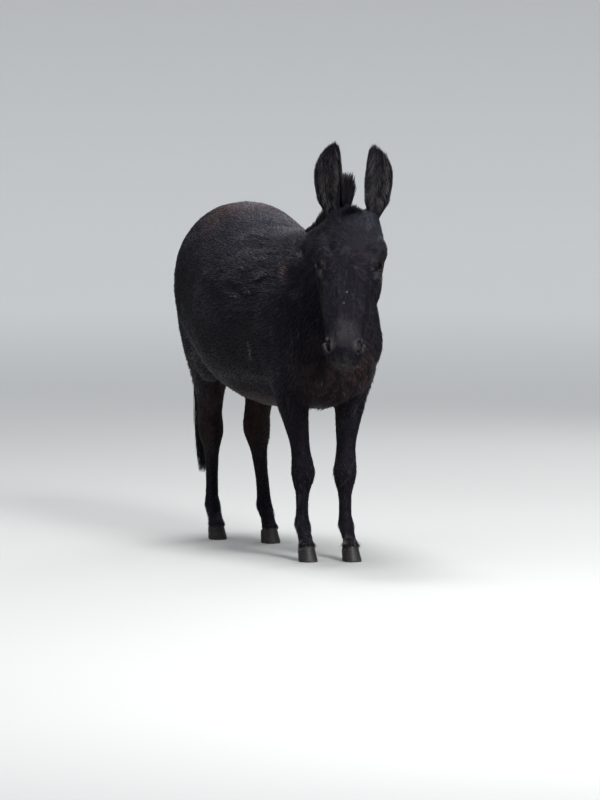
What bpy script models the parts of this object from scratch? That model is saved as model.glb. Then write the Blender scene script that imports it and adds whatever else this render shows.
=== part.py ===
"""A miniature mule, standing, at life size.

The mule faces -Y with its left side towards +X, and its four hooves stand on the plane Z = 0.
The flesh is modelled whole, from lofts and muscle forms that are fused and smoothed, and is then
parted by thin cuts into torso, neck, head and legs. Ears, eyes, hooves, mane, forelock and tail
are pieces of their own, seated on the flesh with a thin gap.
"""

import math
import random

import bmesh
import bpy
import numpy as np
from mathutils import Matrix, Vector

# Driving sizes, in metres
HEAD_LENGTH = 0.49
HEAD_PITCH = math.radians(24)
HEAD_YAW = math.radians(26)
HEAD_ROLL = math.radians(-2.3)
POLL = Vector((-0.042, -0.665, 1.088))
EAR_LENGTH = 0.228
TOE_HEIGHT = 0.052
HEEL_HEIGHT = 0.028
HOOF_LEAN = 0.018
GAP = 0.0003

# Mesh fineness
VOXEL = 0.006
BLEND_ROUNDS = 10
BODY_BLEND_ROUNDS = 45
RING_POINTS = 40
FLESH_FACES = 6500
DETAIL_WEIGHT = 0.0022
PLAINNESS = {"face": 0.55, "muzzle": 0.35, "leg": 0.80}

# Where the regions of the flesh begin and end
TRUNK_FLOOR, TRUNK_FRONT, TRUNK_FADE = 0.46, -0.56, 0.10
HEAD_DEPTH, HEAD_MARGIN, HEAD_BACK = 0.235, 0.03, -0.50
MUZZLE_START = 0.36
LEG_TOP = 0.42

LEFT, RIGHT = 1, -1
SIDES = {"left": LEFT, "right": RIGHT}

COAT_COLOUR = (0.022, 0.019, 0.020, 1)
HORN_COLOUR = (0.030, 0.026, 0.024, 1)
HAIR_COLOUR = (0.012, 0.010, 0.011, 1)
EYE_COLOUR = (0.010, 0.007, 0.006, 1)


# Stations of the torso: place along Y, then top, widest level and bottom in Z, half width,
# and how square the upper and lower halves of the section are
TORSO = (
    (-0.513, 0.720, 0.655, 0.600, 0.020, 2.0, 2.0),
    (-0.505, 0.775, 0.660, 0.565, 0.060, 2.0, 2.0),
    (-0.485, 0.830, 0.675, 0.530, 0.105, 2.0, 2.1),
    (-0.445, 0.890, 0.690, 0.495, 0.142, 2.0, 2.1),
    (-0.360, 0.960, 0.700, 0.470, 0.165, 2.0, 2.1),
    (-0.260, 0.998, 0.700, 0.462, 0.182, 1.9, 2.1),
    (-0.150, 1.002, 0.700, 0.457, 0.205, 1.9, 2.0),
    (-0.050, 1.008, 0.690, 0.452, 0.225, 2.0, 1.9),
    (0.050, 1.024, 0.690, 0.452, 0.236, 2.0, 1.85),
    (0.130, 1.046, 0.700, 0.462, 0.236, 2.1, 1.85),
    (0.210, 1.067, 0.730, 0.488, 0.226, 2.2, 1.9),
    (0.290, 1.075, 0.770, 0.530, 0.216, 2.3, 2.0),
    (0.370, 1.060, 0.800, 0.580, 0.206, 2.3, 2.0),
    (0.430, 1.027, 0.815, 0.620, 0.188, 2.3, 2.0),
    (0.480, 0.980, 0.815, 0.660, 0.150, 2.2, 2.0),
    (0.515, 0.910, 0.805, 0.710, 0.080, 2.0, 2.0),
)

# Stations of the neck: crest point, throat point, half width
NECK = (
    ((0.000, -0.180, 0.985), (0.000, -0.420, 0.540), 0.158),
    ((0.000, -0.280, 1.002), (0.000, -0.490, 0.660), 0.128),
    ((-0.004, -0.380, 1.030), (-0.003, -0.525, 0.745), 0.103),
    ((-0.014, -0.470, 1.060), (-0.012, -0.545, 0.810), 0.086),
    ((-0.028, -0.550, 1.085), (-0.022, -0.555, 0.850), 0.074),
    ((-0.040, -0.610, 1.092), (-0.032, -0.565, 0.870), 0.067),
    ((-0.048, -0.645, 1.080), (-0.040, -0.590, 0.885), 0.060),
)

# Stations of the head: share of its length from the poll, then face line, widest level and jaw
# line measured out from the face plane, half width, and how square the two halves are
HEAD = (
    (-0.030, -0.045, -0.080, -0.120, 0.048, 2.0, 2.0),
    (0.020, -0.018, -0.075, -0.168, 0.075, 2.2, 2.0),
    (0.100, -0.003, -0.070, -0.192, 0.090, 2.4, 2.0),
    (0.200, 0.004, -0.066, -0.208, 0.099, 2.5, 1.9),
    (0.300, 0.007, -0.064, -0.216, 0.102, 2.6, 1.9),
    (0.390, 0.004, -0.066, -0.214, 0.096, 2.6, 1.9),
    (0.480, 0.000, -0.068, -0.203, 0.087, 2.6, 1.9),
    (0.590, -0.004, -0.066, -0.173, 0.077, 2.6, 2.0),
    (0.690, -0.008, -0.062, -0.144, 0.068, 2.6, 2.0),
    (0.780, -0.012, -0.060, -0.124, 0.061, 2.5, 2.1),
    (0.860, -0.016, -0.062, -0.115, 0.057, 2.4, 2.2),
    (0.920, -0.022, -0.066, -0.112, 0.055, 2.3, 2.2),
    (0.955, -0.036, -0.071, -0.107, 0.046, 2.2, 2.2),
    (0.972, -0.054, -0.077, -0.101, 0.028, 2.0, 2.0),
)

# Stations of a foreleg, from the shoulder down: height, distance from the midline, place along
# Y, half width, and depth of the front and of the back half
FORELEG = (
    (0.720, 0.098, -0.370, 0.055, 0.085, 0.095),
    (0.620, 0.102, -0.350, 0.062, 0.092, 0.100),
    (0.550, 0.101, -0.330, 0.060, 0.078, 0.080),
    (0.500, 0.095, -0.322, 0.050, 0.058, 0.062),
    (0.450, 0.087, -0.322, 0.042, 0.047, 0.050),
    (0.400, 0.078, -0.325, 0.034, 0.038, 0.041),
    (0.345, 0.069, -0.328, 0.0285, 0.031, 0.032),
    (0.305, 0.064, -0.330, 0.0315, 0.034, 0.032),
    (0.275, 0.061, -0.330, 0.0360, 0.037, 0.035),
    (0.245, 0.060, -0.328, 0.0320, 0.032, 0.032),
    (0.210, 0.059, -0.325, 0.0215, 0.023, 0.027),
    (0.165, 0.059, -0.323, 0.0180, 0.0195, 0.0255),
    (0.135, 0.059, -0.323, 0.0190, 0.0205, 0.0275),
    (0.112, 0.059, -0.325, 0.0240, 0.0235, 0.0325),
    (0.088, 0.059, -0.336, 0.0210, 0.0205, 0.0265),
    (0.066, 0.059, -0.350, 0.0205, 0.0195, 0.0225),
    (0.046, 0.059, -0.362, 0.0240, 0.0245, 0.0255),
    (0.020, 0.059, -0.376, 0.0245, 0.0255, 0.0265),
)

# Stations of a hind leg, from the haunch down, measured like the foreleg's
HINDLEG = (
    (0.900, 0.092, 0.355, 0.078, 0.118, 0.120),
    (0.800, 0.104, 0.365, 0.088, 0.145, 0.132),
    (0.700, 0.103, 0.362, 0.083, 0.145, 0.128),
    (0.620, 0.099, 0.362, 0.072, 0.126, 0.108),
    (0.550, 0.091, 0.370, 0.059, 0.095, 0.082),
    (0.490, 0.081, 0.388, 0.0475, 0.066, 0.062),
    (0.440, 0.073, 0.405, 0.0400, 0.049, 0.056),
    (0.400, 0.067, 0.420, 0.0375, 0.043, 0.054),
    (0.365, 0.062, 0.428, 0.0405, 0.043, 0.052),
    (0.330, 0.059, 0.428, 0.0370, 0.039, 0.045),
    (0.290, 0.057, 0.427, 0.0250, 0.028, 0.033),
    (0.230, 0.056, 0.425, 0.0200, 0.022, 0.028),
    (0.160, 0.056, 0.423, 0.0190, 0.021, 0.028),
    (0.135, 0.056, 0.423, 0.0200, 0.0215, 0.030),
    (0.114, 0.056, 0.421, 0.0245, 0.0245, 0.034),
    (0.090, 0.056, 0.409, 0.0215, 0.0215, 0.0275),
    (0.067, 0.056, 0.394, 0.0210, 0.0205, 0.0235),
    (0.046, 0.056, 0.382, 0.0245, 0.0250, 0.0260),
    (0.020, 0.056, 0.368, 0.0245, 0.0260, 0.0270),
)

# How each leg stands: how far its hoof is moved along Y and away from the midline, the height
# above which the leg keeps its place, and how far its toe turns out
STANCE = {
    "foreleg_left": (-0.045, 0.006, 0.62, math.radians(3)),
    "foreleg_right": (0.000, 0.002, 0.55, math.radians(3)),
    "hindleg_left": (-0.150, 0.004, 0.66, math.radians(16)),
    "hindleg_right": (0.030, -0.006, 0.66, math.radians(8)),
}

# Muscle masses on each side: centre, radii, and turn about X in degrees
MUSCLES = {
    "shoulder_blade": ((0.072, -0.315, 0.790), (0.074, 0.115, 0.180), 24),
    "shoulder_point": ((0.100, -0.420, 0.670), (0.060, 0.062, 0.090), 0),
    "upper_arm": ((0.115, -0.295, 0.620), (0.055, 0.100, 0.095), -20),
    "breast": ((0.055, -0.455, 0.595), (0.062, 0.048, 0.085), 10),
    "hip": ((0.105, 0.245, 0.915), (0.090, 0.095, 0.095), 0),
    "buttock": ((0.080, 0.430, 0.800), (0.082, 0.090, 0.155), 8),
    "stifle": ((0.116, 0.285, 0.620), (0.054, 0.085, 0.110), 0),
    "hock_point": ((0.065, 0.446, 0.422), (0.0180, 0.029, 0.062), 14),
}
FOLLOWS_LEG = {"hock_point": "hindleg", "stifle": "hindleg"}

# Forms of the head on each side, in head places: along, out, aside; then their radii
HEAD_FORMS = {
    "cheek": ((0.184, -0.130, 0.056), (0.092, 0.078, 0.038)),
    "brow": ((0.129, -0.036, 0.072), (0.054, 0.034, 0.040)),
    "eye_mound": ((0.182, -0.039, 0.0720), (0.042, 0.030, 0.030)),
    "ear_base": ((0.028, -0.060, 0.054), (0.040, 0.034, 0.028)),
    "cheekbone": ((0.225, -0.062, 0.062), (0.060, 0.018, 0.028)),
    "nostril_wing": ((0.430, -0.046, 0.044), (0.034, 0.021, 0.018)),
    "upper_lip": ((0.444, -0.064, 0.022), (0.027, 0.028, 0.028)),
    "chin": ((0.444, -0.110, 0.010), (0.033, 0.019, 0.025)),
}

EYE_PLACE = (0.178, -0.031, 0.0800)
EYE_RADIUS = 0.0190
EYE_LOOK = (0.00, 0.72, 0.69)
LID_THICKNESS = 0.0030
EYE_OPENING = (0.0200, 0.0135)
EYE_SLANT = math.radians(32)
# The cut that opens the lids: how far out from the eye's centre, and its size there
EYE_CUT = ((0.004, 0.90), (0.032, 1.10))
LID_EDGE_POINTS = 10
NOSTRIL_PLACE = (0.430, -0.029, 0.0480)
NOSTRIL_RADII = (0.0190, 0.0080, 0.0190)
NOSTRIL_TURN = math.radians(38)
EAR_ROOT = (0.022, -0.062, 0.062)

# The slit between the lips: its level at the lips' end, its slope and width, then the plate that
# cuts it: from, to and half width, and how deep it reaches: along, aside
LIP_END = 0.46
MOUTH_OUT = -0.0905
MOUTH_SLOPE = 0.10
MOUTH_SLIT = 0.0030
MOUTH_PLATE = (0.375, 0.560, 0.080)
MOUTH_BACK = ((0.375, -0.0400), (0.420, -0.0390), (0.455, -0.0330), (0.470, -0.0200), (0.474, 0.0))


def clear_scene():
    """Empties the scene of whatever it opened with."""
    for obj in list(bpy.data.objects):
        bpy.data.objects.remove(obj)


def new_collection(name):
    """An empty collection, linked to the scene."""
    collection = bpy.data.collections.new(name)
    bpy.context.scene.collection.children.link(collection)
    return collection


def finish_material(name, colour, roughness):
    """A plain Principled BSDF in the part's colour."""
    material = bpy.data.materials.new(name)
    material.use_nodes = True
    shader = material.node_tree.nodes["Principled BSDF"]
    shader.inputs["Base Color"].default_value = colour
    shader.inputs["Roughness"].default_value = roughness
    shader.inputs["Metallic"].default_value = 0.0
    material.diffuse_color = colour
    return material


def through(stations, rows, wanted):
    """Each column of rows, carried smoothly through its stations, at the wanted places."""
    at = np.asarray(stations, float)
    value = np.asarray(rows, float)
    slope = np.gradient(value, at, axis=0)
    wanted = np.asarray(wanted, float)
    first = np.clip(np.searchsorted(at, wanted, side="right") - 1, 0, len(at) - 2)
    span = at[first + 1] - at[first]
    t = ((wanted - at[first]) / span)[:, None]
    span = span[:, None]
    return (
        (2 * t**3 - 3 * t**2 + 1) * value[first]
        + (t**3 - 2 * t**2 + t) * span * slope[first]
        + (3 * t**2 - 2 * t**3) * value[first + 1]
        + (t**3 - t**2) * span * slope[first + 1]
    )


def eased(share):
    """0 to 1 with a soft start and end."""
    share = min(1.0, max(0.0, share))
    return share * share * (3 - 2 * share)


def oval(half_width, up, down, square_up, square_down, count=RING_POINTS):
    """Points (aside, upwards) of a section that is widest at level 0."""
    points = []
    for k in range(count):
        turn = 2 * math.pi * k / count
        c, s = math.cos(turn), math.sin(turn)
        square = square_up if s >= 0 else square_down
        reach = up if s >= 0 else down
        aside = half_width * math.copysign(abs(c) ** (2 / square), c)
        points.append((aside, reach * math.copysign(abs(s) ** (2 / square), s)))
    return points


def mesh_object(name, collection, points, faces):
    """A mesh from points and faces, with its faces turned outwards."""
    mesh = bpy.data.meshes.new(name)
    mesh.from_pydata([tuple(p) for p in points], [], faces)
    work = bmesh.new()
    work.from_mesh(mesh)
    bmesh.ops.recalc_face_normals(work, faces=work.faces)
    work.to_mesh(mesh)
    work.free()
    obj = bpy.data.objects.new(name, mesh)
    collection.objects.link(obj)
    return obj


def loft(name, collection, rings):
    """A closed skin over rings that all have the same number of points."""
    count = len(rings[0])
    points = [point for ring in rings for point in ring]
    faces = [tuple(range(count)), tuple(range(len(points) - count, len(points)))]
    for row in range(len(rings) - 1):
        for k in range(count):
            a, b = row * count + k, row * count + (k + 1) % count
            faces.append((a, b, b + count, a + count))
    return mesh_object(name, collection, points, faces)


def ellipsoid(name, collection, centre, radii, turn=None, segments=32):
    """A sphere primitive at its true size, stretched, turned and placed in its mesh."""
    bpy.ops.mesh.primitive_uv_sphere_add(segments=segments, ring_count=segments // 2, radius=1)
    obj = bpy.context.object
    obj.name = name
    matrix = Matrix.Translation(centre) @ (turn or Matrix()) @ Matrix.Diagonal((*radii, 1))
    obj.data.transform(matrix)
    if matrix.determinant() < 0:
        obj.data.flip_normals()
    move_to(obj, collection)
    return obj


def move_to(obj, collection):
    """Puts the object in this collection alone."""
    for held in list(obj.users_collection):
        held.objects.unlink(obj)
    collection.objects.link(obj)


def applied(obj):
    """Replaces the object's mesh by its evaluated one and drops the modifiers."""
    graph = bpy.context.evaluated_depsgraph_get()
    mesh = bpy.data.meshes.new_from_object(obj.evaluated_get(graph))
    obj.modifiers.clear()
    obj.data = mesh
    return obj


def boolean(obj, other, operation):
    """Cuts or joins obj with one closed mesh, which is removed afterwards."""
    step = obj.modifiers.new(operation.lower(), "BOOLEAN")
    step.operation = operation
    step.solver = "MANIFOLD"
    step.object = other
    applied(obj)
    bpy.data.objects.remove(other)
    return obj


def joined(name, collection, pieces):
    """One closed body from a collection of closed pieces, by a Boolean union."""
    first = pieces[0]
    first.name = name
    move_to(first, collection)
    if len(pieces) == 1:
        return first
    others = new_collection(name + "_pieces")
    for piece in pieces[1:]:
        move_to(piece, others)
    step = first.modifiers.new("union", "BOOLEAN")
    step.operation = "UNION"
    step.operand_type = "COLLECTION"
    step.collection = others
    step.solver = "MANIFOLD"
    applied(first)
    for piece in list(others.objects):
        bpy.data.objects.remove(piece)
    bpy.data.collections.remove(others)
    return largest_body(first)


def largest_body(obj):
    """Keeps only the largest closed surface of the mesh."""
    work = bmesh.new()
    work.from_mesh(obj.data)
    bmesh.ops.remove_doubles(work, verts=work.verts, dist=1e-6)
    left = set(work.faces)
    bodies = []
    while left:
        body, edge = set(), [left.pop()]
        while edge:
            face = edge.pop()
            body.add(face)
            for side in face.edges:
                for near in side.link_faces:
                    if near in left:
                        left.remove(near)
                        edge.append(near)
        bodies.append(body)
    bodies.sort(key=lambda body: sum(face.calc_area() for face in body))
    for body in bodies[:-1]:
        bmesh.ops.delete(work, geom=list(body), context="FACES")
    work.to_mesh(obj.data)
    work.free()
    return obj


def copy_of(obj, name, collection):
    """A copy of the object with a mesh of its own."""
    twin = obj.copy()
    twin.data = obj.data.copy()
    twin.name = name
    collection.objects.link(twin)
    return twin


def grown(obj, name, collection, by):
    """A copy of a closed body with its surface moved outwards."""
    twin = copy_of(obj, name, collection)
    step = twin.modifiers.new("grow", "DISPLACE")
    step.strength = by
    step.mid_level = 0
    return applied(twin)


def cube(name, collection, matrix):
    """A cube primitive, stretched, turned and placed in its mesh."""
    bpy.ops.mesh.primitive_cube_add(size=1)
    obj = bpy.context.object
    obj.name = name
    obj.data.transform(matrix)
    move_to(obj, collection)
    return obj


def slab(collection, place, normal, reach, back):
    """A large block whose near face lies just behind a plane, on its normal's side."""
    turn = Vector(normal).to_track_quat("Z", "Y").to_matrix().to_4x4()
    lift = Matrix.Translation((0, 0, reach / 2 + back))
    stretch = Matrix.Diagonal((reach, reach, reach, 1))
    return cube("slab", collection, Matrix.Translation(place) @ turn @ lift @ stretch)


def block(collection, low, high):
    """A block between two corners."""
    low, high = Vector(low), Vector(high)
    stretch = Matrix.Diagonal((*(high - low), 1))
    return cube("block", collection, Matrix.Translation((low + high) / 2) @ stretch)


# The head's own frame


def head_axes():
    """The directions along the head, out of the face, and towards the mule's left."""
    ahead = Vector((-math.sin(HEAD_YAW), -math.cos(HEAD_YAW), 0))
    up = Vector((0, 0, 1))
    along = ahead * math.sin(HEAD_PITCH) - up * math.cos(HEAD_PITCH)
    out = ahead * math.cos(HEAD_PITCH) + up * math.sin(HEAD_PITCH)
    along = Matrix.Rotation(HEAD_ROLL, 3, out) @ along
    return along, out, out.cross(along)


def head_point(along, out, aside):
    """A place given in the head's own frame, measured from the poll."""
    a, o, s = head_axes()
    return POLL + a * along + o * out + s * aside


def head_turn():
    """The matrix that lays X along the head, Y out of the face and Z to the left."""
    a, o, s = head_axes()
    return Matrix((a, o, s)).transposed().to_4x4()


# The flesh


def torso_form(collection):
    """The barrel, from the breast to the rump."""
    places = np.linspace(TORSO[0][0], TORSO[-1][0], 70)
    rows = through([row[0] for row in TORSO], [row[1:] for row in TORSO], places)
    rings = []
    for y, (top, level, bottom, half, up, down) in zip(places, rows):
        section = oval(half, top - level, level - bottom, up, down)
        rings.append([(x, y, level + z) for x, z in section])
    return loft("torso_form", collection, rings)


# The neck is widest at this share of the way from throat to crest; then how square its section is
NECK_LEVEL = 0.46
NECK_SQUARE = (1.75, 2.1)


def neck_form(collection):
    """The neck, from the withers to the poll."""
    shares = np.linspace(0, len(NECK) - 1, 50)
    rows = through(range(len(NECK)), [(*crest, *throat, half) for crest, throat, half in NECK], shares)
    rings = []
    for row in rows:
        crest, throat, half = Vector(row[:3]), Vector(row[3:6]), row[6]
        middle = throat.lerp(crest, NECK_LEVEL)
        up, down = crest - middle, middle - throat
        section = oval(half, 1, 1, *NECK_SQUARE)
        rings.append([middle + Vector((x, 0, 0)) + (up if z >= 0 else down) * z for x, z in section])
    return loft("neck_form", collection, rings)


def head_form(collection):
    """The skull and muzzle, without the forms that stand on them."""
    shares = np.linspace(HEAD[0][0], HEAD[-1][0], 60)
    rows = through([row[0] for row in HEAD], [row[1:] for row in HEAD], shares)
    rings = []
    for share, (face, level, jaw, half, up, down) in zip(shares, rows):
        section = oval(half, face - level, level - jaw, up, down)
        rings.append([head_point(share * HEAD_LENGTH, level + out, aside) for aside, out in section])
    return loft("head_form", collection, rings)


def lean_of(leg, z):
    """How much of its stance the leg takes at a height: 0 at the body, 1 at the hoof."""
    fixed_above = STANCE[leg][2]
    return eased(1 - (z - TOE_HEIGHT) / (fixed_above - TOE_HEIGHT))


def leg_form(name, collection, table, side):
    """One leg in its stance, from the body down to the hoof."""
    ahead, apart, _, toe_out = STANCE[name]
    heights = np.linspace(table[-1][0], table[0][0], 90)
    rows = through([row[0] for row in table[::-1]], [row[1:] for row in table[::-1]], heights)
    rings = []
    for z, (apart_here, y, half, front, back) in zip(heights, rows):
        lean = lean_of(name, z)
        x = side * (apart_here + apart * lean)
        section = oval(half, front, back, 2.0, 2.0)
        c, s = math.cos(side * toe_out * lean), math.sin(side * toe_out * lean)
        rings.append(
            [(x + a * c + b * s, y + ahead * lean + a * s - b * c, z) for a, b in section]
        )
    return loft(name + "_form", collection, rings)


def muscle_forms(collection):
    """The muscle masses of both sides, those of a leg moved with its stance."""
    for name, (centre, radii, tilt) in MUSCLES.items():
        for side_name, side in SIDES.items():
            place = Vector((side * centre[0], centre[1], centre[2]))
            if name in FOLLOWS_LEG:
                leg = f"{FOLLOWS_LEG[name]}_{side_name}"
                lean = lean_of(leg, place.z)
                place += Vector((side * STANCE[leg][1] * lean, STANCE[leg][0] * lean, 0))
            turn = Matrix.Rotation(math.radians(tilt), 4, "X")
            ellipsoid(name, collection, place, radii, turn)


def head_forms(collection):
    """Cheeks, brows, eye mounds, ear bases, nostril wings, lips and chin."""
    for name, (place, radii) in HEAD_FORMS.items():
        for side in (LEFT, RIGHT):
            centre = head_point(place[0], place[1], side * place[2])
            ellipsoid(name, collection, centre, radii, head_turn())


def fused_flesh(collection):
    """Every flesh form as one skin: voxel fused, smoothed, and thinned least where it is finest."""
    forms = new_collection("forms")
    torso_form(forms)
    neck_form(forms)
    head_form(forms)
    for name, table in (("foreleg", FORELEG), ("hindleg", HINDLEG)):
        for side_name, side in SIDES.items():
            leg_form(f"{name}_{side_name}", forms, table, side)
    muscle_forms(forms)
    head_forms(forms)
    work = bmesh.new()
    for form in list(forms.objects):
        work.from_mesh(form.data)
        bpy.data.objects.remove(form)
    mesh = bpy.data.meshes.new("flesh")
    work.to_mesh(mesh)
    work.free()
    bpy.data.collections.remove(forms)
    flesh = bpy.data.objects.new("flesh", mesh)
    collection.objects.link(flesh)
    fuse = flesh.modifiers.new("fuse", "REMESH")
    fuse.mode = "VOXEL"
    fuse.voxel_size = VOXEL
    applied(flesh)
    blend(flesh)
    thin_out(flesh)
    return flesh


def blend(flesh):
    """Smooths the fused forms: a little everywhere, and far more on the trunk."""
    trunk = flesh.vertex_groups.new(name="trunk")
    for vertex in flesh.data.vertices:
        trunk.add([vertex.index], trunk_share(vertex.co), "REPLACE")
    for rounds, group in ((BLEND_ROUNDS, ""), (BODY_BLEND_ROUNDS, trunk.name)):
        smooth = flesh.modifiers.new("smooth", "SMOOTH")
        smooth.factor = 0.5
        smooth.iterations = rounds
        smooth.vertex_group = group
    applied(flesh)
    flesh.vertex_groups.clear()


def trunk_share(point):
    """1 on the trunk and the neck's root, falling to 0 on the legs, the upper neck and the head."""
    above_legs = eased((point.z - TRUNK_FLOOR) / TRUNK_FADE)
    return above_legs * eased((point.y - TRUNK_FRONT) / TRUNK_FADE)


def thin_out(flesh):
    """Collapses faces: most on the barrel, less on the legs, least on the head."""
    group = flesh.vertex_groups.new(name="thin")
    for vertex in flesh.data.vertices:
        group.add([vertex.index], plainness(vertex.co), "REPLACE")
    step = flesh.modifiers.new("thin", "DECIMATE")
    step.ratio = FLESH_FACES / (2 * len(flesh.data.polygons))
    step.vertex_group = group.name
    step.vertex_group_factor = DETAIL_WEIGHT
    applied(flesh)
    flesh.vertex_groups.clear()


def plainness(point):
    """1 where the surface is plain and broad, towards 0 where it is small and detailed."""
    along, out, _ = head_axes()
    from_poll = point - POLL
    down_the_face = from_poll.dot(along)
    in_depth = from_poll.dot(out) > -HEAD_DEPTH and point.y < HEAD_BACK
    if down_the_face > -HEAD_MARGIN and in_depth:
        return PLAINNESS["face"] if down_the_face < MUZZLE_START else PLAINNESS["muzzle"]
    return PLAINNESS["leg"] if point.z < LEG_TOP else 1.0


# The pieces that sit on the flesh


# Rings of a hoof: share of its height, and its size there against the leg's last station
HOOF_RINGS = ((0.0, 1.10), (0.08, 1.12), (0.5, 1.06), (1.0, 1.01))
HEEL_SHARE = 0.94
LEG_REACH = 0.9


def hoof(name, collection, leg, table, side):
    """A narrow upright hoof with a flat sole and a slanted top, under one leg."""
    centre, half_width, half_length = hoof_base(leg, table, side)
    toe_out = side * STANCE[leg][3]
    rings = []
    for share, swell in HOOF_RINGS:
        ahead, behind = half_length * swell, half_length * swell * HEEL_SHARE
        section = oval(half_width * swell, ahead, behind, 2.1, 2.3, 24)
        ring = []
        for a, b in section:
            slant = b / half_length * (TOE_HEIGHT - HEEL_HEIGHT) / 2
            z = share * ((TOE_HEIGHT + HEEL_HEIGHT) / 2 + slant)
            ring.append(Vector((a, share * HOOF_LEAN - b, z)))
        rings.append([centre + Matrix.Rotation(toe_out, 3, "Z") @ point for point in ring])
    return loft(name, collection, rings)


def hoof_base(leg, table, side):
    """The middle of the sole, and the hoof's half width and half length."""
    ahead, apart, _, _ = STANCE[leg]
    _, apart_here, y, half_width, front, back = table[-1]
    return Vector((side * (apart_here + apart), y + ahead, 0)), half_width, (front + back) / 2


def coronet(leg, table, side):
    """A point and the normal of the slanted plane where horn meets skin, higher at the toe."""
    centre, _, half_length = hoof_base(leg, table, side)
    turn = Matrix.Rotation(side * STANCE[leg][3], 3, "Z")
    middle = Vector((0, HOOF_LEAN, (TOE_HEIGHT + HEEL_HEIGHT) / 2))
    way = Vector((0, (TOE_HEIGHT - HEEL_HEIGHT) / 2, half_length)).normalized()
    return centre + turn @ middle, turn @ way


EAR_STATIONS = (
    # share of length, outer edge, inner edge, depth, half turn of the shell in degrees
    (0.00, 0.0110, -0.0270, 0.0200, 168),
    (0.10, 0.0235, -0.0250, 0.0230, 158),
    (0.20, 0.0335, -0.0275, 0.0260, 138),
    (0.36, 0.0415, -0.0330, 0.0275, 118),
    (0.53, 0.0440, -0.0370, 0.0260, 106),
    (0.69, 0.0400, -0.0375, 0.0215, 98),
    (0.82, 0.0270, -0.0370, 0.0160, 93),
    (0.92, 0.0095, -0.0355, 0.0105, 89),
    (0.97, -0.0055, -0.0330, 0.0070, 86),
    (1.00, -0.0190, -0.0260, 0.0035, 84),
)
EAR_WALL = 0.0045
EAR_THIN_EDGE = 0.55
EAR_ARC_POINTS = 9
EAR_TURN_OUT = math.radians(8)
EAR_LEAN_OUT = math.radians(4.5)
EAR_LEAN_AHEAD = {LEFT: math.radians(-13), RIGHT: math.radians(6)}


def ear(name, collection, side):
    """A long cupped ear: a shell with a crescent section, open to the front and a little aside."""
    out = head_axes()[1]
    front = Vector((out.x, out.y, 0)).normalized()
    outward = (front.cross(Vector((0, 0, -1))) * side).normalized()
    ahead = Matrix.Rotation(side * EAR_TURN_OUT, 3, "Z") @ front
    outward = Matrix.Rotation(side * EAR_TURN_OUT, 3, "Z") @ outward
    up = Vector((0, 0, 1)) + outward * math.tan(EAR_LEAN_OUT) + ahead * math.tan(EAR_LEAN_AHEAD[side])
    up = (Matrix.Rotation(HEAD_ROLL, 3, out) @ up).normalized()
    root = head_point(EAR_ROOT[0], EAR_ROOT[1], side * EAR_ROOT[2])
    shares = np.concatenate([np.linspace(0, 0.9, 13), [0.95, 0.985, 1.0]])
    rows = through([row[0] for row in EAR_STATIONS], [row[1:] for row in EAR_STATIONS], shares)
    rings = []
    for share, (outer_edge, inner_edge, depth, half_turn) in zip(shares, rows):
        half = (outer_edge - inner_edge) / 2
        centre = root + up * (share * EAR_LENGTH) + outward * (outer_edge + inner_edge) / 2
        wall = min(EAR_WALL, 0.45 * depth, 0.45 * half)
        outer, inner = [], []
        for place in np.linspace(-1, 1, EAR_ARC_POINTS):
            turn = math.radians(half_turn) * place
            thin = wall * (1 - (1 - EAR_THIN_EDGE) * place**4)
            aside, back = outward * math.sin(turn), ahead * math.cos(turn)
            outer.append(centre + aside * half - back * depth)
            inner.append(centre + aside * (half - thin) - back * (depth - thin))
        rings.append(outer + inner[::-1])
    return loft(name, collection, rings)


def eye_frame(side):
    """The eye's centre, its look direction, and the direction of its long axis."""
    along, out, aside = head_axes()
    centre = head_point(EYE_PLACE[0], EYE_PLACE[1], side * EYE_PLACE[2])
    look = (along * EYE_LOOK[0] + out * EYE_LOOK[1] + aside * side * EYE_LOOK[2]).normalized()
    corner = (along * math.cos(EYE_SLANT) + out * math.sin(EYE_SLANT)).cross(look).cross(look)
    return centre, look, -corner.normalized()


def eye_opening_cutter(name, collection, side):
    """A lens-shaped prism that opens the lids over the eyeball."""
    centre, look, long_axis = eye_frame(side)
    across = look.cross(long_axis)
    half_long, half_high = EYE_OPENING
    outline = []
    for sign in (1, -1):
        for t in np.linspace(-1, 1, LID_EDGE_POINTS, endpoint=False):
            outline.append((half_long * t * sign, sign * half_high * (1 - t * t)))
    rings = []
    for reach, spread in EYE_CUT:
        rings.append(
            [centre + look * reach + long_axis * a * spread + across * b * spread for a, b in outline]
        )
    return loft(name, collection, rings)


def mouth_cutter(name, collection):
    """A thin horseshoe plate that scores the line between the lips."""
    start, end, reach = MOUTH_PLATE
    outline = [(start, reach), (end, reach), (end, -reach), (start, -reach), *MOUTH_BACK]
    outline += [(along, -aside) for along, aside in MOUTH_BACK[-2::-1]]
    rings = []
    for edge in (-MOUTH_SLIT / 2, MOUTH_SLIT / 2):
        ring = []
        for along, aside in outline:
            ring.append(head_point(along, MOUTH_OUT + edge - MOUTH_SLOPE * (along - LIP_END), aside))
        rings.append(ring)
    return loft(name, collection, rings)


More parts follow.
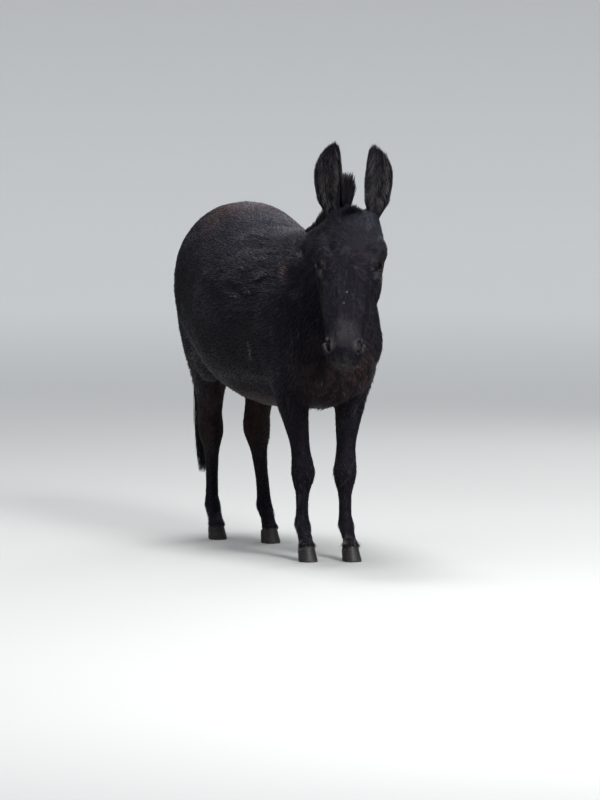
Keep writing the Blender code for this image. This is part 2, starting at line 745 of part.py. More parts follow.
def shaped_head(head, collection):
    """Adds the lids, then opens the eyes, nostrils and the line of the mouth."""
    lids = []
    for side in (LEFT, RIGHT):
        centre = eye_frame(side)[0]
        lids.append(ellipsoid("lid", collection, centre, [EYE_RADIUS + LID_THICKNESS] * 3, None, 20))
    joined("head", collection, [head, *lids])
    for side in (LEFT, RIGHT):
        centre = eye_frame(side)[0]
        boolean(head, eye_opening_cutter("opening", collection, side), "DIFFERENCE")
        socket = ellipsoid("socket", collection, centre, [EYE_RADIUS + GAP] * 3, None, 16)
        boolean(head, socket, "DIFFERENCE")
        place = head_point(NOSTRIL_PLACE[0], NOSTRIL_PLACE[1], side * NOSTRIL_PLACE[2])
        lean = head_turn() @ Matrix.Rotation(-side * NOSTRIL_TURN, 4, "X")
        nostril = ellipsoid("nostril", collection, place, NOSTRIL_RADII, lean, 16)
        boolean(head, nostril, "DIFFERENCE")
    boolean(head, mouth_cutter("mouth", collection), "DIFFERENCE")
    return largest_body(head)


# Hair that stands or hangs in locks


# How a lock narrows: its size at the tip, at the root, and how late the taper comes
LOCK_TIP = 0.14
LOCK_ROOT = 0.75
LOCK_TAPER = 3.4


def lock(collection, spine, across, width, thickness):
    """A flat lock along a list of points, widest near its root and tapering to its tip."""
    rings = []
    last = len(spine) - 1
    for k, point in enumerate(spine):
        share = k / last
        along = (spine[min(k + 1, last)] - spine[max(k - 1, 0)]).normalized()
        wide = (across - along * across.dot(along)).normalized()
        deep = along.cross(wide)
        swell = LOCK_ROOT + (1 - LOCK_ROOT) * min(1.0, share * 4)
        taper = LOCK_TIP + (1 - LOCK_TIP) * (1 - share**LOCK_TAPER) * swell
        w, h = wide * width / 2 * taper, deep * thickness / 2 * taper
        rings.append([point + w, point + h, point - w, point - h])
    return loft("lock", collection, rings)


def curved_spine(root, way, bend, length, sunk, steps):
    """Points from below the root to the tip, bending more towards the tip."""
    points = []
    for k in range(steps + 1):
        run = -sunk + (length + sunk) * k / steps
        points.append(root + way * run + bend * max(0.0, run) ** 2 / length)
    return points


MANE_START, MANE_END = -0.245, -0.622
MANE_HEIGHTS = ((-0.245, 0.020), (-0.300, 0.040), (-0.400, 0.062), (-0.500, 0.078), (-0.622, 0.094))
MANE_HALF_WIDTH = 0.014
MANE_SHIFT = 0.010
MANE_SUNK = 0.020
MANE_LOCK_WIDTHS = (0.034, 0.042)
MANE_LOCK_THICKNESS = 0.011
LOCK_SUNK = 0.012
# How much less the locks lean between the ears
EAR_ROOM = 0.7
# Each row of the mane: share of its half width, lean outwards, share of its height, locks
MANE_ROWS = ((-1.0, -0.16, 0.88, 14), (0.0, 0.0, 1.0, 14), (1.0, 0.16, 0.88, 14))


def crest_point(y):
    """The neck's crest at a place along Y, with the mane's small shift to the left near the poll."""
    crest = np.array([row[0] for row in NECK])[::-1]
    x, z = through(crest[:, 1], crest[:, [0, 2]], [y])[0]
    return Vector((x + MANE_SHIFT * eased((-y - 0.30) / 0.3), y, z))


def mane_height(y):
    """How high the mane stands over the crest at a place along Y."""
    places = [row[0] for row in MANE_HEIGHTS][::-1]
    return float(through(places, [[row[1]] for row in MANE_HEIGHTS][::-1], [y])[0][0])


def mane_core(collection):
    """A low ridge along the crest, sunk into the neck, that the locks stand in."""
    rings = []
    for y in np.linspace(MANE_START, MANE_END, 8):
        foot, height = crest_point(y), mane_height(y)
        half = MANE_HALF_WIDTH * (0.6 + 0.5 * height / MANE_HEIGHTS[-1][1])
        section = ((-1.0, 0.0), (-0.8, 0.20), (0.0, 0.42), (0.8, 0.20), (1.0, 0.0))
        ring = [foot + Vector((a * half, 0, height * up)) for a, up in section]
        ring += [foot + Vector((a * half, 0, -MANE_SUNK)) for a in (1.0, -1.0)]
        rings.append(ring)
    return loft("mane_core", collection, rings)


def mane(name, collection):
    """A short upright mane: three rows of flat locks that overlap along the crest."""
    draw = random.Random(5)
    pieces = [mane_core(collection)]
    for offset, lean, share, count in MANE_ROWS:
        for k in range(count):
            y = MANE_START + (MANE_END - MANE_START) * (k + 0.3 + 0.4 * (offset == 0)) / count
            height = mane_height(y) * share * draw.uniform(0.93, 1.07)
            root = crest_point(y) + Vector((offset * MANE_HALF_WIDTH * 0.45, 0, 0))
            lean_here = lean * (1 - EAR_ROOM * eased((-y - 0.48) / 0.10))
            ahead = -0.05 + 0.16 * eased((-y - 0.50) / 0.12) + draw.uniform(-0.07, 0.07)
            way = Vector((lean_here + draw.uniform(-0.05, 0.05), -ahead, 1)).normalized()
            bend = Vector((lean_here * 0.5 + draw.uniform(-0.08, 0.08), draw.uniform(-0.10, 0.10), 0))
            spine = curved_spine(root, way, bend, height, LOCK_SUNK, 4)
            across = Vector((draw.uniform(-0.25, 0.25), 1, 0))
            width = draw.uniform(*MANE_LOCK_WIDTHS)
            pieces.append(lock(collection, spine, across, width, MANE_LOCK_THICKNESS))
    return joined(name, collection, pieces)


FORELOCK_PLACE = (0.004, -0.016, 0.0)
# The root of the forelock: height against its place, half width, half depth
FORELOCK_CORE = ((-0.020, 0.020, 0.012), (0.024, 0.014, 0.008))
# Each lock of the forelock: aside, lean to the side, lean out of the face, length
FORELOCK_LOCKS = (
    (-0.012, -0.22, 0.10, 0.050),
    (-0.006, -0.08, 0.26, 0.056),
    (0.000, 0.04, 0.08, 0.062),
    (0.006, 0.10, 0.28, 0.056),
    (0.012, 0.24, 0.12, 0.050),
    (0.002, -0.02, 0.46, 0.044),
)
FORELOCK_LOCK_SIZE = (0.026, 0.010)


def forelock(name, collection):
    """A short tuft of locks between the ears."""
    _, out, aside = head_axes()
    foot = head_point(*FORELOCK_PLACE)
    up = Vector((0, 0, 1))
    rings = []
    for height, half, deep in FORELOCK_CORE:
        section = oval(half, deep, deep, 2, 2, 10)
        rings.append([foot + aside * a + out * b + up * height for a, b in section])
    pieces = [loft("forelock_core", collection, rings)]
    for place, lean, tilt, length in FORELOCK_LOCKS:
        way = (up + aside * lean + out * tilt).normalized()
        bend = out * 0.12 + aside * lean * 0.4
        spine = curved_spine(foot + aside * place, way, bend, length, LOCK_SUNK, 4)
        pieces.append(lock(collection, spine, aside, *FORELOCK_LOCK_SIZE))
    return joined(name, collection, pieces)


TAIL_STATIONS = (
    # centre of the tail, half width and half depth of its outer form
    ((0.000, 0.470, 0.955), 0.032, 0.026),
    ((0.000, 0.515, 0.930), 0.031, 0.026),
    ((-0.002, 0.545, 0.870), 0.029, 0.025),
    ((-0.006, 0.556, 0.790), 0.032, 0.028),
    ((-0.014, 0.560, 0.690), 0.042, 0.036),
    ((-0.024, 0.562, 0.580), 0.046, 0.039),
    ((-0.034, 0.564, 0.460), 0.045, 0.036),
    ((-0.042, 0.566, 0.350), 0.036, 0.028),
    ((-0.048, 0.568, 0.260), 0.029, 0.022),
    ((-0.051, 0.569, 0.200), 0.022, 0.015),
)
DOCK_END = 0.46
# Each ring of tail locks: where its roots and tips are as shares of the tail, locks, and how far
# out they lie
TAIL_RINGS = ((0.20, 0.64, 6, 1.00), (0.31, 0.82, 6, 0.88), (0.40, 1.00, 8, 0.72))
TAIL_LOCK_STEPS = 5
TAIL_LOCK_WIDTHS = (0.036, 0.046)
TAIL_LOCK_THICKNESS = 0.013
# How far a lock's edge stands out against its width, so that each laps over the next
TAIL_LAP = 0.55


def tail_frame(share):
    """The tail's centre, half width, half depth and its depth direction at a share of its length."""
    rows = [(*centre, half, deep) for centre, half, deep in TAIL_STATIONS]
    shares = np.array([share, min(share + 0.01, 1), max(share - 0.01, 0)])
    here, later, sooner = through(range(len(rows)), rows, shares * (len(rows) - 1))
    along = (Vector(later[:3]) - Vector(sooner[:3])).normalized()
    return Vector(here[:3]), here[3], here[4], along.cross(Vector((1, 0, 0))).normalized()


def tail_core(collection):
    """The dock under the hair."""
    rings = []
    for share in np.linspace(0, DOCK_END, 9):
        centre, half, deep, way = tail_frame(share)
        size = 0.92 - 0.62 * eased((share - 0.2) / (DOCK_END - 0.2))
        section = oval(half * size, deep * size, deep * size, 2, 2, 10)
        rings.append([centre + Vector((a, 0, 0)) + way * b for a, b in section])
    return loft("dock", collection, rings)


def tail(name, collection):
    """The tail: a dock with rings of long flat locks that hang over one another to the tip."""
    draw = random.Random(11)
    pieces = [tail_core(collection)]
    for root_share, tip_share, count, out in TAIL_RINGS:
        for k in range(count):
            turn = 2 * math.pi * (k + draw.uniform(-0.2, 0.2)) / count
            tip = tip_share * draw.uniform(0.93, 1.0)
            spine = []
            for run in np.linspace(0, 1, TAIL_LOCK_STEPS + 1):
                centre, half, deep, way = tail_frame(root_share + (tip - root_share) * run)
                reach = (0.30 + (out - 0.30) * min(1.0, run * 3.5)) * (1 - 0.12 * run)
                place = turn + 0.10 * math.sin(run * 5 + k * 2.1)
                x, z = half * reach * math.cos(place), deep * reach * math.sin(place)
                spine.append(centre + Vector((x, 0, 0)) + way * z)
            round_way = Vector((-math.sin(turn), 0, 0)) + way * math.cos(turn)
            outward = Vector((math.cos(turn), 0, 0)) + way * math.sin(turn)
            width = draw.uniform(*TAIL_LOCK_WIDTHS)
            across = round_way + outward * TAIL_LAP
            pieces.append(lock(collection, spine, across, width, TAIL_LOCK_THICKNESS))
    return joined(name, collection, pieces)


def seated(piece, others, collection):
    """Cuts the piece back from what it grows from or passes by, leaving the thin gap."""
    for other in others:
        boolean(piece, grown(other, "grown", collection, GAP), "DIFFERENCE")
    return largest_body(piece)


# The whole mule

CUTS = {
    # place and direction of each cut, pointing to the piece that it frees, then how far its block
    # reaches below the place at the cut and beyond it
    "head": ((-0.040, -0.592, 0.98), (-0.30, -0.93, -0.25), 0.20, 1.40),
    "neck": ((0.000, -0.375, 0.83), (0.00, -0.81, 0.58), 0.60, 0.60),
}
CUT_DEPTH = 0.6
CUT_SIDE = 0.5
LEG_BOXES = {
    # x reach from the midline, y from and to, height of the cut
    "foreleg": (0.30, -0.52, -0.16, 0.450),
    "hindleg": (0.30, 0.19, 0.60, 0.470),
}


def cutting_block(collection, place, way, near_below, far_below, back):
    """A block behind a cut's plane, that reaches further down the further it is from the plane."""
    way = Vector(way).normalized()
    side = way.cross(Vector((0, 0, 1))).normalized()
    up = side.cross(way)
    place = Vector(place) + way * back
    rings = []
    for depth, below in ((0.0, near_below), (CUT_DEPTH, far_below)):
        corners = ((-CUT_SIDE, -below), (CUT_SIDE, -below), (CUT_SIDE, CUT_SIDE), (-CUT_SIDE, CUT_SIDE))
        rings.append([place + way * depth + side * a + up * b for a, b in corners])
    return loft("block", collection, rings)


def part_flesh(flesh, parts, helpers):
    """Parts the fused flesh into torso, neck, head and legs by thin cuts."""
    rest = flesh
    nodes = {}
    for name, cut in CUTS.items():
        piece = copy_of(rest, name, parts)
        boolean(piece, cutting_block(helpers, *cut, GAP / 2), "INTERSECT")
        boolean(rest, cutting_block(helpers, *cut, -GAP / 2), "DIFFERENCE")
        nodes[name] = largest_body(piece)
    for kind, (reach, start, end, height) in LEG_BOXES.items():
        for side_name, side in SIDES.items():
            name = f"{kind}_{side_name}"
            xs = sorted((side * GAP / 2, side * reach))
            piece = copy_of(rest, name, parts)
            keep = block(helpers, (xs[0], start, -0.1), (xs[1], end, height - GAP / 2))
            boolean(piece, keep, "INTERSECT")
            nodes[name] = largest_body(piece)
        drop = block(helpers, (-reach, start, -0.1), (reach, end, height + GAP / 2))
        boolean(rest, drop, "DIFFERENCE")
    rest.name = "torso"
    move_to(rest, parts)
    nodes["torso"] = largest_body(rest)
    return nodes


def add_hooves(nodes, parts, helpers):
    """Sets a hoof under each leg and cuts the leg back to its coronet."""
    for kind, table in (("foreleg", FORELEG), ("hindleg", HINDLEG)):
        for side_name, side in SIDES.items():
            leg = f"{kind}_{side_name}"
            name = ("hoof_fore_" if kind == "foreleg" else "hoof_hind_") + side_name
            nodes[name] = hoof(name, parts, leg, table, side)
            place, way = coronet(leg, table, side)
            boolean(nodes[leg], slab(helpers, place, way, LEG_REACH, GAP), "INTERSECT")
            largest_body(nodes[leg])


def recentre(nodes):
    """Moves the whole mule so that the origin is the middle of its footprint, on the ground."""
    corners = np.array([v.co for obj in nodes.values() for v in obj.data.vertices])
    low, high = corners.min(axis=0), corners.max(axis=0)
    shift = Matrix.Translation((-(low[0] + high[0]) / 2, -(low[1] + high[1]) / 2, -low[2]))
    for obj in nodes.values():
        obj.data.transform(shift)


def main():
    """Builds the whole mule and leaves only its nodes in the scene."""
    clear_scene()
    parts = new_collection("miniature_mule")
    helpers = new_collection("helpers")
    flesh = fused_flesh(helpers)
    whole = copy_of(flesh, "whole", helpers)
    nodes = part_flesh(flesh, parts, helpers)
    shaped_head(nodes["head"], parts)
    add_hooves(nodes, parts, helpers)
    for side_name, side in SIDES.items():
        name = "ear_" + side_name
        nodes[name] = seated(ear(name, parts, side), [whole], helpers)
        name = "eye_" + side_name
        centre = eye_frame(side)[0]
        nodes[name] = ellipsoid(name, parts, centre, [EYE_RADIUS] * 3, None, 16)
    beside = [whole, nodes["ear_left"], nodes["ear_right"]]
    for name, make in (("mane", mane), ("forelock", forelock), ("tail", tail)):
        nodes[name] = seated(make(name, parts), beside, helpers)
    bpy.data.objects.remove(whole)
    recentre(nodes)
    dress(nodes)
    bpy.data.collections.remove(helpers)


def dress(nodes):
    """Gives each node its plain finish."""
    finishes = {
        "coat": finish_material("coat", COAT_COLOUR, 0.55),
        "horn": finish_material("horn", HORN_COLOUR, 0.45),
        "hair": finish_material("hair", HAIR_COLOUR, 0.6),
        "eye": finish_material("eye", EYE_COLOUR, 0.05),
    }
    kinds = {"hoof": "horn", "mane": "hair", "forelock": "hair", "tail": "hair", "eye": "eye"}
    for name, obj in nodes.items():
        kind = kinds.get(name.split("_")[0], "coat")
        obj.data.materials.clear()
        obj.data.materials.append(finishes[kind])
        obj.data.shade_smooth()


if __name__ == "__main__":
    main()
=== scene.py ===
"""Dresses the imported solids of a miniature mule: skin, coat, mane, tail, eyes, hooves, floor, light and camera."""

import logging
import math
from dataclasses import asdict, dataclass, field
from enum import Enum

import bmesh
import bpy
import numpy as np
from mathutils import Matrix, Vector


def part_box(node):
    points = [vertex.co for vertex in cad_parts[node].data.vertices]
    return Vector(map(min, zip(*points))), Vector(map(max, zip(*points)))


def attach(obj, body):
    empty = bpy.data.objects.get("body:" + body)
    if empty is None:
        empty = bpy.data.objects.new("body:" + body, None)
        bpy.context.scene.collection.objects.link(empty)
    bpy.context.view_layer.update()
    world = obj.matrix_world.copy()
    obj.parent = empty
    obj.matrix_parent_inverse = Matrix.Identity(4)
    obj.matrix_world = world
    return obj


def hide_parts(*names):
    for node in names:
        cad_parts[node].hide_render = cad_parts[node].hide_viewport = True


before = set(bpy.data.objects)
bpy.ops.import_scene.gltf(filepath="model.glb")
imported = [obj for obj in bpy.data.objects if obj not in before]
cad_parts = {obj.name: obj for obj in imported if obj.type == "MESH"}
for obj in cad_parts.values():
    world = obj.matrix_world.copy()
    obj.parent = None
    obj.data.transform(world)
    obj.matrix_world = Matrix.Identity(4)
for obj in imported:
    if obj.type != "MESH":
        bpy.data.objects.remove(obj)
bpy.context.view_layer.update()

LOG = logging.getLogger("mule")
BODY = "root"
BAKE_MAP = "OFBake"
PATCH = 0.003
FLESH = ("head", "neck", "torso", "foreleg_left", "foreleg_right", "hindleg_left", "hindleg_right")
EARS = ("ear_left", "ear_right")


class Side(Enum):
    """The mule's own two sides: its left is towards +X."""

    LEFT = 1
    RIGHT = -1

    @property
    def word(self) -> str:
        """The side's name as node names have it."""
        return self.name.lower()


class Slot(Enum):
    """The record's material slots."""

    COAT = "coat"
    HORN = "horn"
    HAIR = "hair"
    EYE = "eye"


# Numbers


def eased(low: float, high: float, value: np.ndarray) -> np.ndarray:
    """A smooth step from 0 at low to 1 at high."""
    share = np.clip((value - low) / (high - low), 0.0, 1.0)
    return share * share * (3 - 2 * share)


def hump(value: np.ndarray, width: float) -> np.ndarray:
    """A soft bump of height 1 where value is 0, gone at about two widths."""
    return np.exp(-((value / width) ** 2))


def along_rows(rows: tuple, shares: np.ndarray) -> np.ndarray:
    """Smooth values between rows of numbers.

    Args:
        rows: rows whose first number is a place and whose others are values.
        shares: the places wanted.

    Returns:
        One row of values for each place, eased between its neighbours by cubic curves.
    """
    table = np.array(rows, float)
    places, values = table[:, 0], table[:, 1:]
    slopes = np.gradient(values, places, axis=0)
    at = np.clip(np.searchsorted(places, shares) - 1, 0, len(places) - 2)
    step = (places[at + 1] - places[at])[:, None]
    t = np.clip((np.asarray(shares)[:, None] - places[at][:, None]) / step, 0, 1)
    start, end = values[at], values[at + 1]
    return (
        (2 * t**3 - 3 * t**2 + 1) * start
        + (t**3 - 2 * t**2 + t) * step * slopes[at]
        + (3 * t**2 - 2 * t**3) * end
        + (t**3 - t**2) * step * slopes[at + 1]
    )


def unit(vectors: np.ndarray) -> np.ndarray:
    """Each row at length 1."""
    return vectors / np.maximum(np.linalg.norm(vectors, axis=-1, keepdims=True), 1e-9)


def flattened(vectors: np.ndarray, normals: np.ndarray) -> np.ndarray:
    """Each row laid flat on the surface that has these normals, at length 1."""
    return unit(vectors - normals * np.sum(vectors * normals, axis=1, keepdims=True))


# Meshes


def linked(name: str, data: bpy.types.ID) -> bpy.types.Object:
    """A new object in the scene that holds this data."""
    held = bpy.data.objects.new(name, data)
    bpy.context.scene.collection.objects.link(held)
    return held


def mesh_piece(name: str, points: np.ndarray, faces: list) -> bpy.types.Object:
    """A linked object from points and faces.

    Args:
        name: the object's name.
        points: a row for each point.
        faces: the points of each face.

    Returns:
        The object.
    """
    mesh = bpy.data.meshes.new(name)
    mesh.from_pydata(np.asarray(points, float).tolist(), [], faces)
    mesh.validate()
    mesh.update()
    return linked(name, mesh)


def grid(rows: int, columns: int, closed: bool = False, looped: bool = False) -> tuple[list, np.ndarray]:
    """The quads between rows of points.

    Args:
        rows: how many rows.
        columns: how many points in a row.
        closed: whether each row runs round to its first point.
        looped: whether the last row meets the first.

    Returns:
        The faces, and for each of their corners its place across and along, 0 to 1.
    """
    across, along = columns - (not closed), rows - (not looped)
    faces, corners = [], []
    for r in range(along):
        low, high = r * columns, (r + 1) % rows * columns
        for c in range(across):
            after = (c + 1) % columns
            faces.append((low + c, low + after, high + after, high + c))
            corners += [((c + i) / across, (r + j) / along) for i, j in ((0, 0), (1, 0), (1, 1), (0, 1))]
    return faces, np.array(corners)


def faced_out(piece: bpy.types.Object) -> bpy.types.Object:
    """The piece with its faces turned outwards, and smooth shading."""
    work = bmesh.new()
    work.from_mesh(piece.data)
    bmesh.ops.recalc_face_normals(work, faces=work.faces)
    work.to_mesh(piece.data)
    work.free()
    return shaded(piece)


def loft(name: str, rings: list) -> bpy.types.Object:
    """A closed form through rings of points.

    Args:
        name: the object's name.
        rings: rings of the same number of points, from one end to the other.

    Returns:
        The object, with a fan over each end.
    """
    sides, last = len(rings[0]), (len(rings) - 1) * len(rings[0])
    faces = grid(len(rings), sides, closed=True)[0]
    faces += [tuple(range(sides))[::-1], tuple(range(last, last + sides))]
    return faced_out(mesh_piece(name, np.concatenate(rings), faces))


def read_rows(items: bpy.types.bpy_prop_collection, key: str, width: int, kind: type) -> np.ndarray:
    """One field of a mesh's items, a row for each."""
    found = np.empty(len(items) * width, kind)
    items.foreach_get(key, found)
    return found.reshape(-1, width)


def points_of(mesh: bpy.types.Mesh) -> np.ndarray:
    """The mesh's points as rows."""
    return read_rows(mesh.vertices, "co", 3, np.float32).astype(float)


def set_points(mesh: bpy.types.Mesh, points: np.ndarray) -> None:
    """Moves the mesh's points."""
    mesh.vertices.foreach_set("co", points.astype(np.float32).ravel())
    mesh.update()


def triangles_of(mesh: bpy.types.Mesh) -> np.ndarray:
    """The points of each face of a mesh that has triangles only."""
    return read_rows(mesh.polygons, "vertices", 3, np.int32)


def normals_of(mesh: bpy.types.Mesh) -> np.ndarray:
    """The normal at each point of the mesh."""
    return read_rows(mesh.vertex_normals, "vector", 3, np.float32).astype(float)


def edges_of(mesh: bpy.types.Mesh) -> np.ndarray:
    """The mesh's edges as pairs of points."""
    return read_rows(mesh.edges, "vertices", 2, np.int32)


def part_of(skin: bpy.types.Object, near: np.ndarray) -> tuple[np.ndarray, np.ndarray]:
    """The points and faces of the part of a skin where near holds, with the faces counted within it."""
    faces = triangles_of(skin.data)
    used, flat = np.unique(faces[near[faces].all(1)], return_inverse=True)
    return used, flat.reshape(-1, 3)


def spread_out(
    values: np.ndarray, edges: np.ndarray, share: np.ndarray, rounds: int, keep_size: bool
) -> np.ndarray:
    """Evens out values over a mesh.

    Args:
        values: a row for each point, which may be its place.
        edges: pairs of points.
        share: how far each point moves to the mean of its neighbours, 0 to 1.
        rounds: how many times.
        keep_size: whether each round is followed by a step back, so that a form doesn't shrink.

    Returns:
        The evened rows.
    """
    count = len(values)
    first, second = edges[:, 0], edges[:, 1]
    number = np.maximum(np.bincount(first, minlength=count) + np.bincount(second, minlength=count), 1)
    steps = (0.60, -0.62) if keep_size else (0.60,)
    for _ in range(rounds):
        for step in steps:
            means = np.empty_like(values)
            for k in range(values.shape[1]):
                total = np.bincount(first, values[second, k], count) + np.bincount(second, values[first, k], count)
                means[:, k] = total / number
            values = values + (means - values) * (share * step)[:, None]
    return values


def applied(piece: bpy.types.Object) -> bpy.types.Object:
    """The piece with its modifiers worked into its mesh."""
    bpy.context.view_layer.update()
    shaped = piece.evaluated_get(bpy.context.evaluated_depsgraph_get())
    old = piece.data
    piece.data = bpy.data.meshes.new_from_object(shaped)
    piece.modifiers.clear()
    bpy.data.meshes.remove(old)
    return piece


def removed(*pieces: bpy.types.Object) -> None:
    """Deletes helper objects with their meshes."""
    for piece in pieces:
        mesh = piece.data
        bpy.data.objects.remove(piece)
        bpy.data.meshes.remove(mesh)


def shaded(piece: bpy.types.Object) -> bpy.types.Object:
    """The piece with smooth shading."""
    piece.data.shade_smooth()
    return piece


def ready(
    piece: bpy.types.Object, slot: Slot, material: bpy.types.Material | None = None, replaces: tuple = ()
) -> None:
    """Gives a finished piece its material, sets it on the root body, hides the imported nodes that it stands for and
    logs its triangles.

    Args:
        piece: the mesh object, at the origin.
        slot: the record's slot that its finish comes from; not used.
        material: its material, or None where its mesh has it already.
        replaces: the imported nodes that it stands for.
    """
    if material:
        piece.data.materials.clear()
        piece.data.materials.append(material)
    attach(piece, BODY)
    if replaces:
        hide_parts(*replaces)
    triangles = sum(len(face.vertices) - 2 for face in piece.data.polygons)
    LOG.info("%s: %d triangles", piece.name, triangles)


# Node trees


class Value:
    """An output socket. Python's operators on it add Math nodes."""

    def __init__(self, graph: "Graph", socket: bpy.types.NodeSocket) -> None:
        """Holds the socket with its graph."""
        self.graph = graph
        self.socket = socket

    def other(self, name: str) -> "Value":
        """Another output of the same node."""
        return Value(self.graph, Graph.picked(self.socket.node.outputs, name))

    def __add__(self, other: "Value | float") -> "Value":
        """Sum."""
        return self.graph.math("ADD", self, other)

    def __sub__(self, other: "Value | float") -> "Value":
        """Difference."""
        return self.graph.math("SUBTRACT", self, other)

    def __rsub__(self, other: float) -> "Value":
        """Difference from a number."""
        return self.graph.math("SUBTRACT", other, self)

    def __mul__(self, other: "Value | float") -> "Value":
        """Product."""
        return self.graph.math("MULTIPLY", self, other)

    def __truediv__(self, other: "Value | float") -> "Value":
        """Quotient."""
        return self.graph.math("DIVIDE", self, other)

    def __pow__(self, other: "Value | float") -> "Value":
        """Power."""
        return self.graph.math("POWER", self, other)

    __radd__ = __add__
    __rmul__ = __mul__


class Graph:
    """A shader or geometry tree that is built by calls."""

    def __init__(self, tree: bpy.types.NodeTree) -> None:
        """Holds the tree."""
        self.tree = tree

    def node(self, kind: str, settings: dict | None = None, inputs: dict | None = None, output: str | int = 0) -> Value:
        """Adds a node.

        Args:
            kind: the node's type.
            settings: its properties, set first; a ramp's stops come as "stops".
            inputs: a number, vector, colour, name or Value for each input, by name or index.
            output: the name or index of the output wanted.

        Returns:
            That output.
        """
        made = self.tree.nodes.new(kind)
        for key, value in (settings or {}).items():
            if key == "stops":
                self.set_stops(made.color_ramp.elements, value)
            else:
                setattr(made, key, value)
        for key, value in (inputs or {}).items():
            into = self.picked(made.inputs, key)
            if isinstance(value, Value):
                self.tree.links.new(value.socket, into)
            else:
                into.default_value = value
        return Value(self, self.picked(made.outputs, output) if made.outputs else None)

    @staticmethod
    def picked(sockets: bpy.types.bpy_prop_collection, key: str | int) -> bpy.types.NodeSocket:
        """A socket by its index, or by its name among those in use."""
        return sockets[key] if isinstance(key, int) else next(s for s in sockets if s.name == key and s.enabled)

    @staticmethod
    def set_stops(elements: bpy.types.ColorRampElements, stops: tuple) -> None:
        """Fills a ramp with (place, colour) pairs."""
        while len(elements) < len(stops):
            elements.new(0.5)
        for element, (place, colour) in zip(elements, stops):
            element.position = place
            element.color = colour

    def math(self, operation: str, first: "Value | float", second: "Value | float") -> Value:
        """A Math node on two values or numbers."""
        return self.node("ShaderNodeMath", {"operation": operation}, {0: first, 1: second})

    def vector(self, operation: str, first: object, second: object = (0.0, 0.0, 0.0), output: str = "Vector") -> Value:
        """A Vector Math node on two vectors."""
        return self.node("ShaderNodeVectorMath", {"operation": operation}, {0: first, 1: second}, output)

    def mix(self, share: "Value | float", first: object, second: object) -> Value:
        """A colour between two colours."""
        return self.node("ShaderNodeMix", {"data_type": "RGBA"}, {"Factor": share, "A": first, "B": second}, "Result")

    def step(self, value: Value, low: float, high: float) -> Value:
        """A smooth step from 0 at low to 1 at high, where low may be the greater."""
        return self.node(
            "ShaderNodeMapRange",
            {"interpolation_type": "SMOOTHSTEP"},
            {"Value": value, "From Min": low, "From Max": high},
            "Result",
        )

    def noise(self, place: Value, scale: float, detail: float = 3.0, by: tuple | None = None) -> Value:
        """A noise between 0 and 1, whose place may be stretched along each axis."""
        place = self.vector("MULTIPLY", place, by) if by else place
        sizes = {"Vector": place, "Scale": scale, "Detail": detail, "Roughness": 0.55}
        return self.node("ShaderNodeTexNoise", {}, sizes, "Fac")

    def place(self) -> Value:
        """Object coordinates."""
        return self.node("ShaderNodeTexCoord", output="Object")

    def tone(self) -> Value:
        """Each tuft's or strand's own tone."""
        return self.node("ShaderNodeAttribute", {"attribute_name": "tone"}, output="Fac")

    def bump(self, height: Value, strength: float, distance: float) -> Value:
        """A normal from a height."""
        return self.node("ShaderNodeBump", {}, {"Strength": strength, "Distance": distance, "Height": height})

    def near(self, place: Value, point: tuple, inner: float, outer: float, by: tuple = (1.0, 1.0, 1.0)) -> Value:
        """A round mask: 1 within inner of a point, 0 beyond outer, with distances scaled along each axis."""
        away = self.vector("MULTIPLY", self.vector("SUBTRACT", place, tuple(point)), by)
        return self.step(self.vector("LENGTH", away, output="Value"), outer, inner)


@dataclass(frozen=True)
class Spot:
    """A soft round spot of colour, with its distances scaled along each axis."""

    point: "tuple | Vector"
    inner: float
    outer: float
    share: float = 1.0
    by: tuple = (1.0, 1.0, 1.0)

    def on(self, g: Graph, place: Value, base: Value, colour: tuple, uneven: "Value | float" = 1.0) -> Value:
        """The base colour with this spot of another colour on it.

        Args:
            g: the graph.
            place: Object coordinates.
            base: the colour under the spot.
            colour: the spot's colour.
            uneven: a mask that breaks the spot up.

        Returns:
            The mixed colour.
        """
        return g.mix(g.near(place, self.point, self.inner, self.outer, self.by) * self.share * uneven, base, colour)


# Where the head is


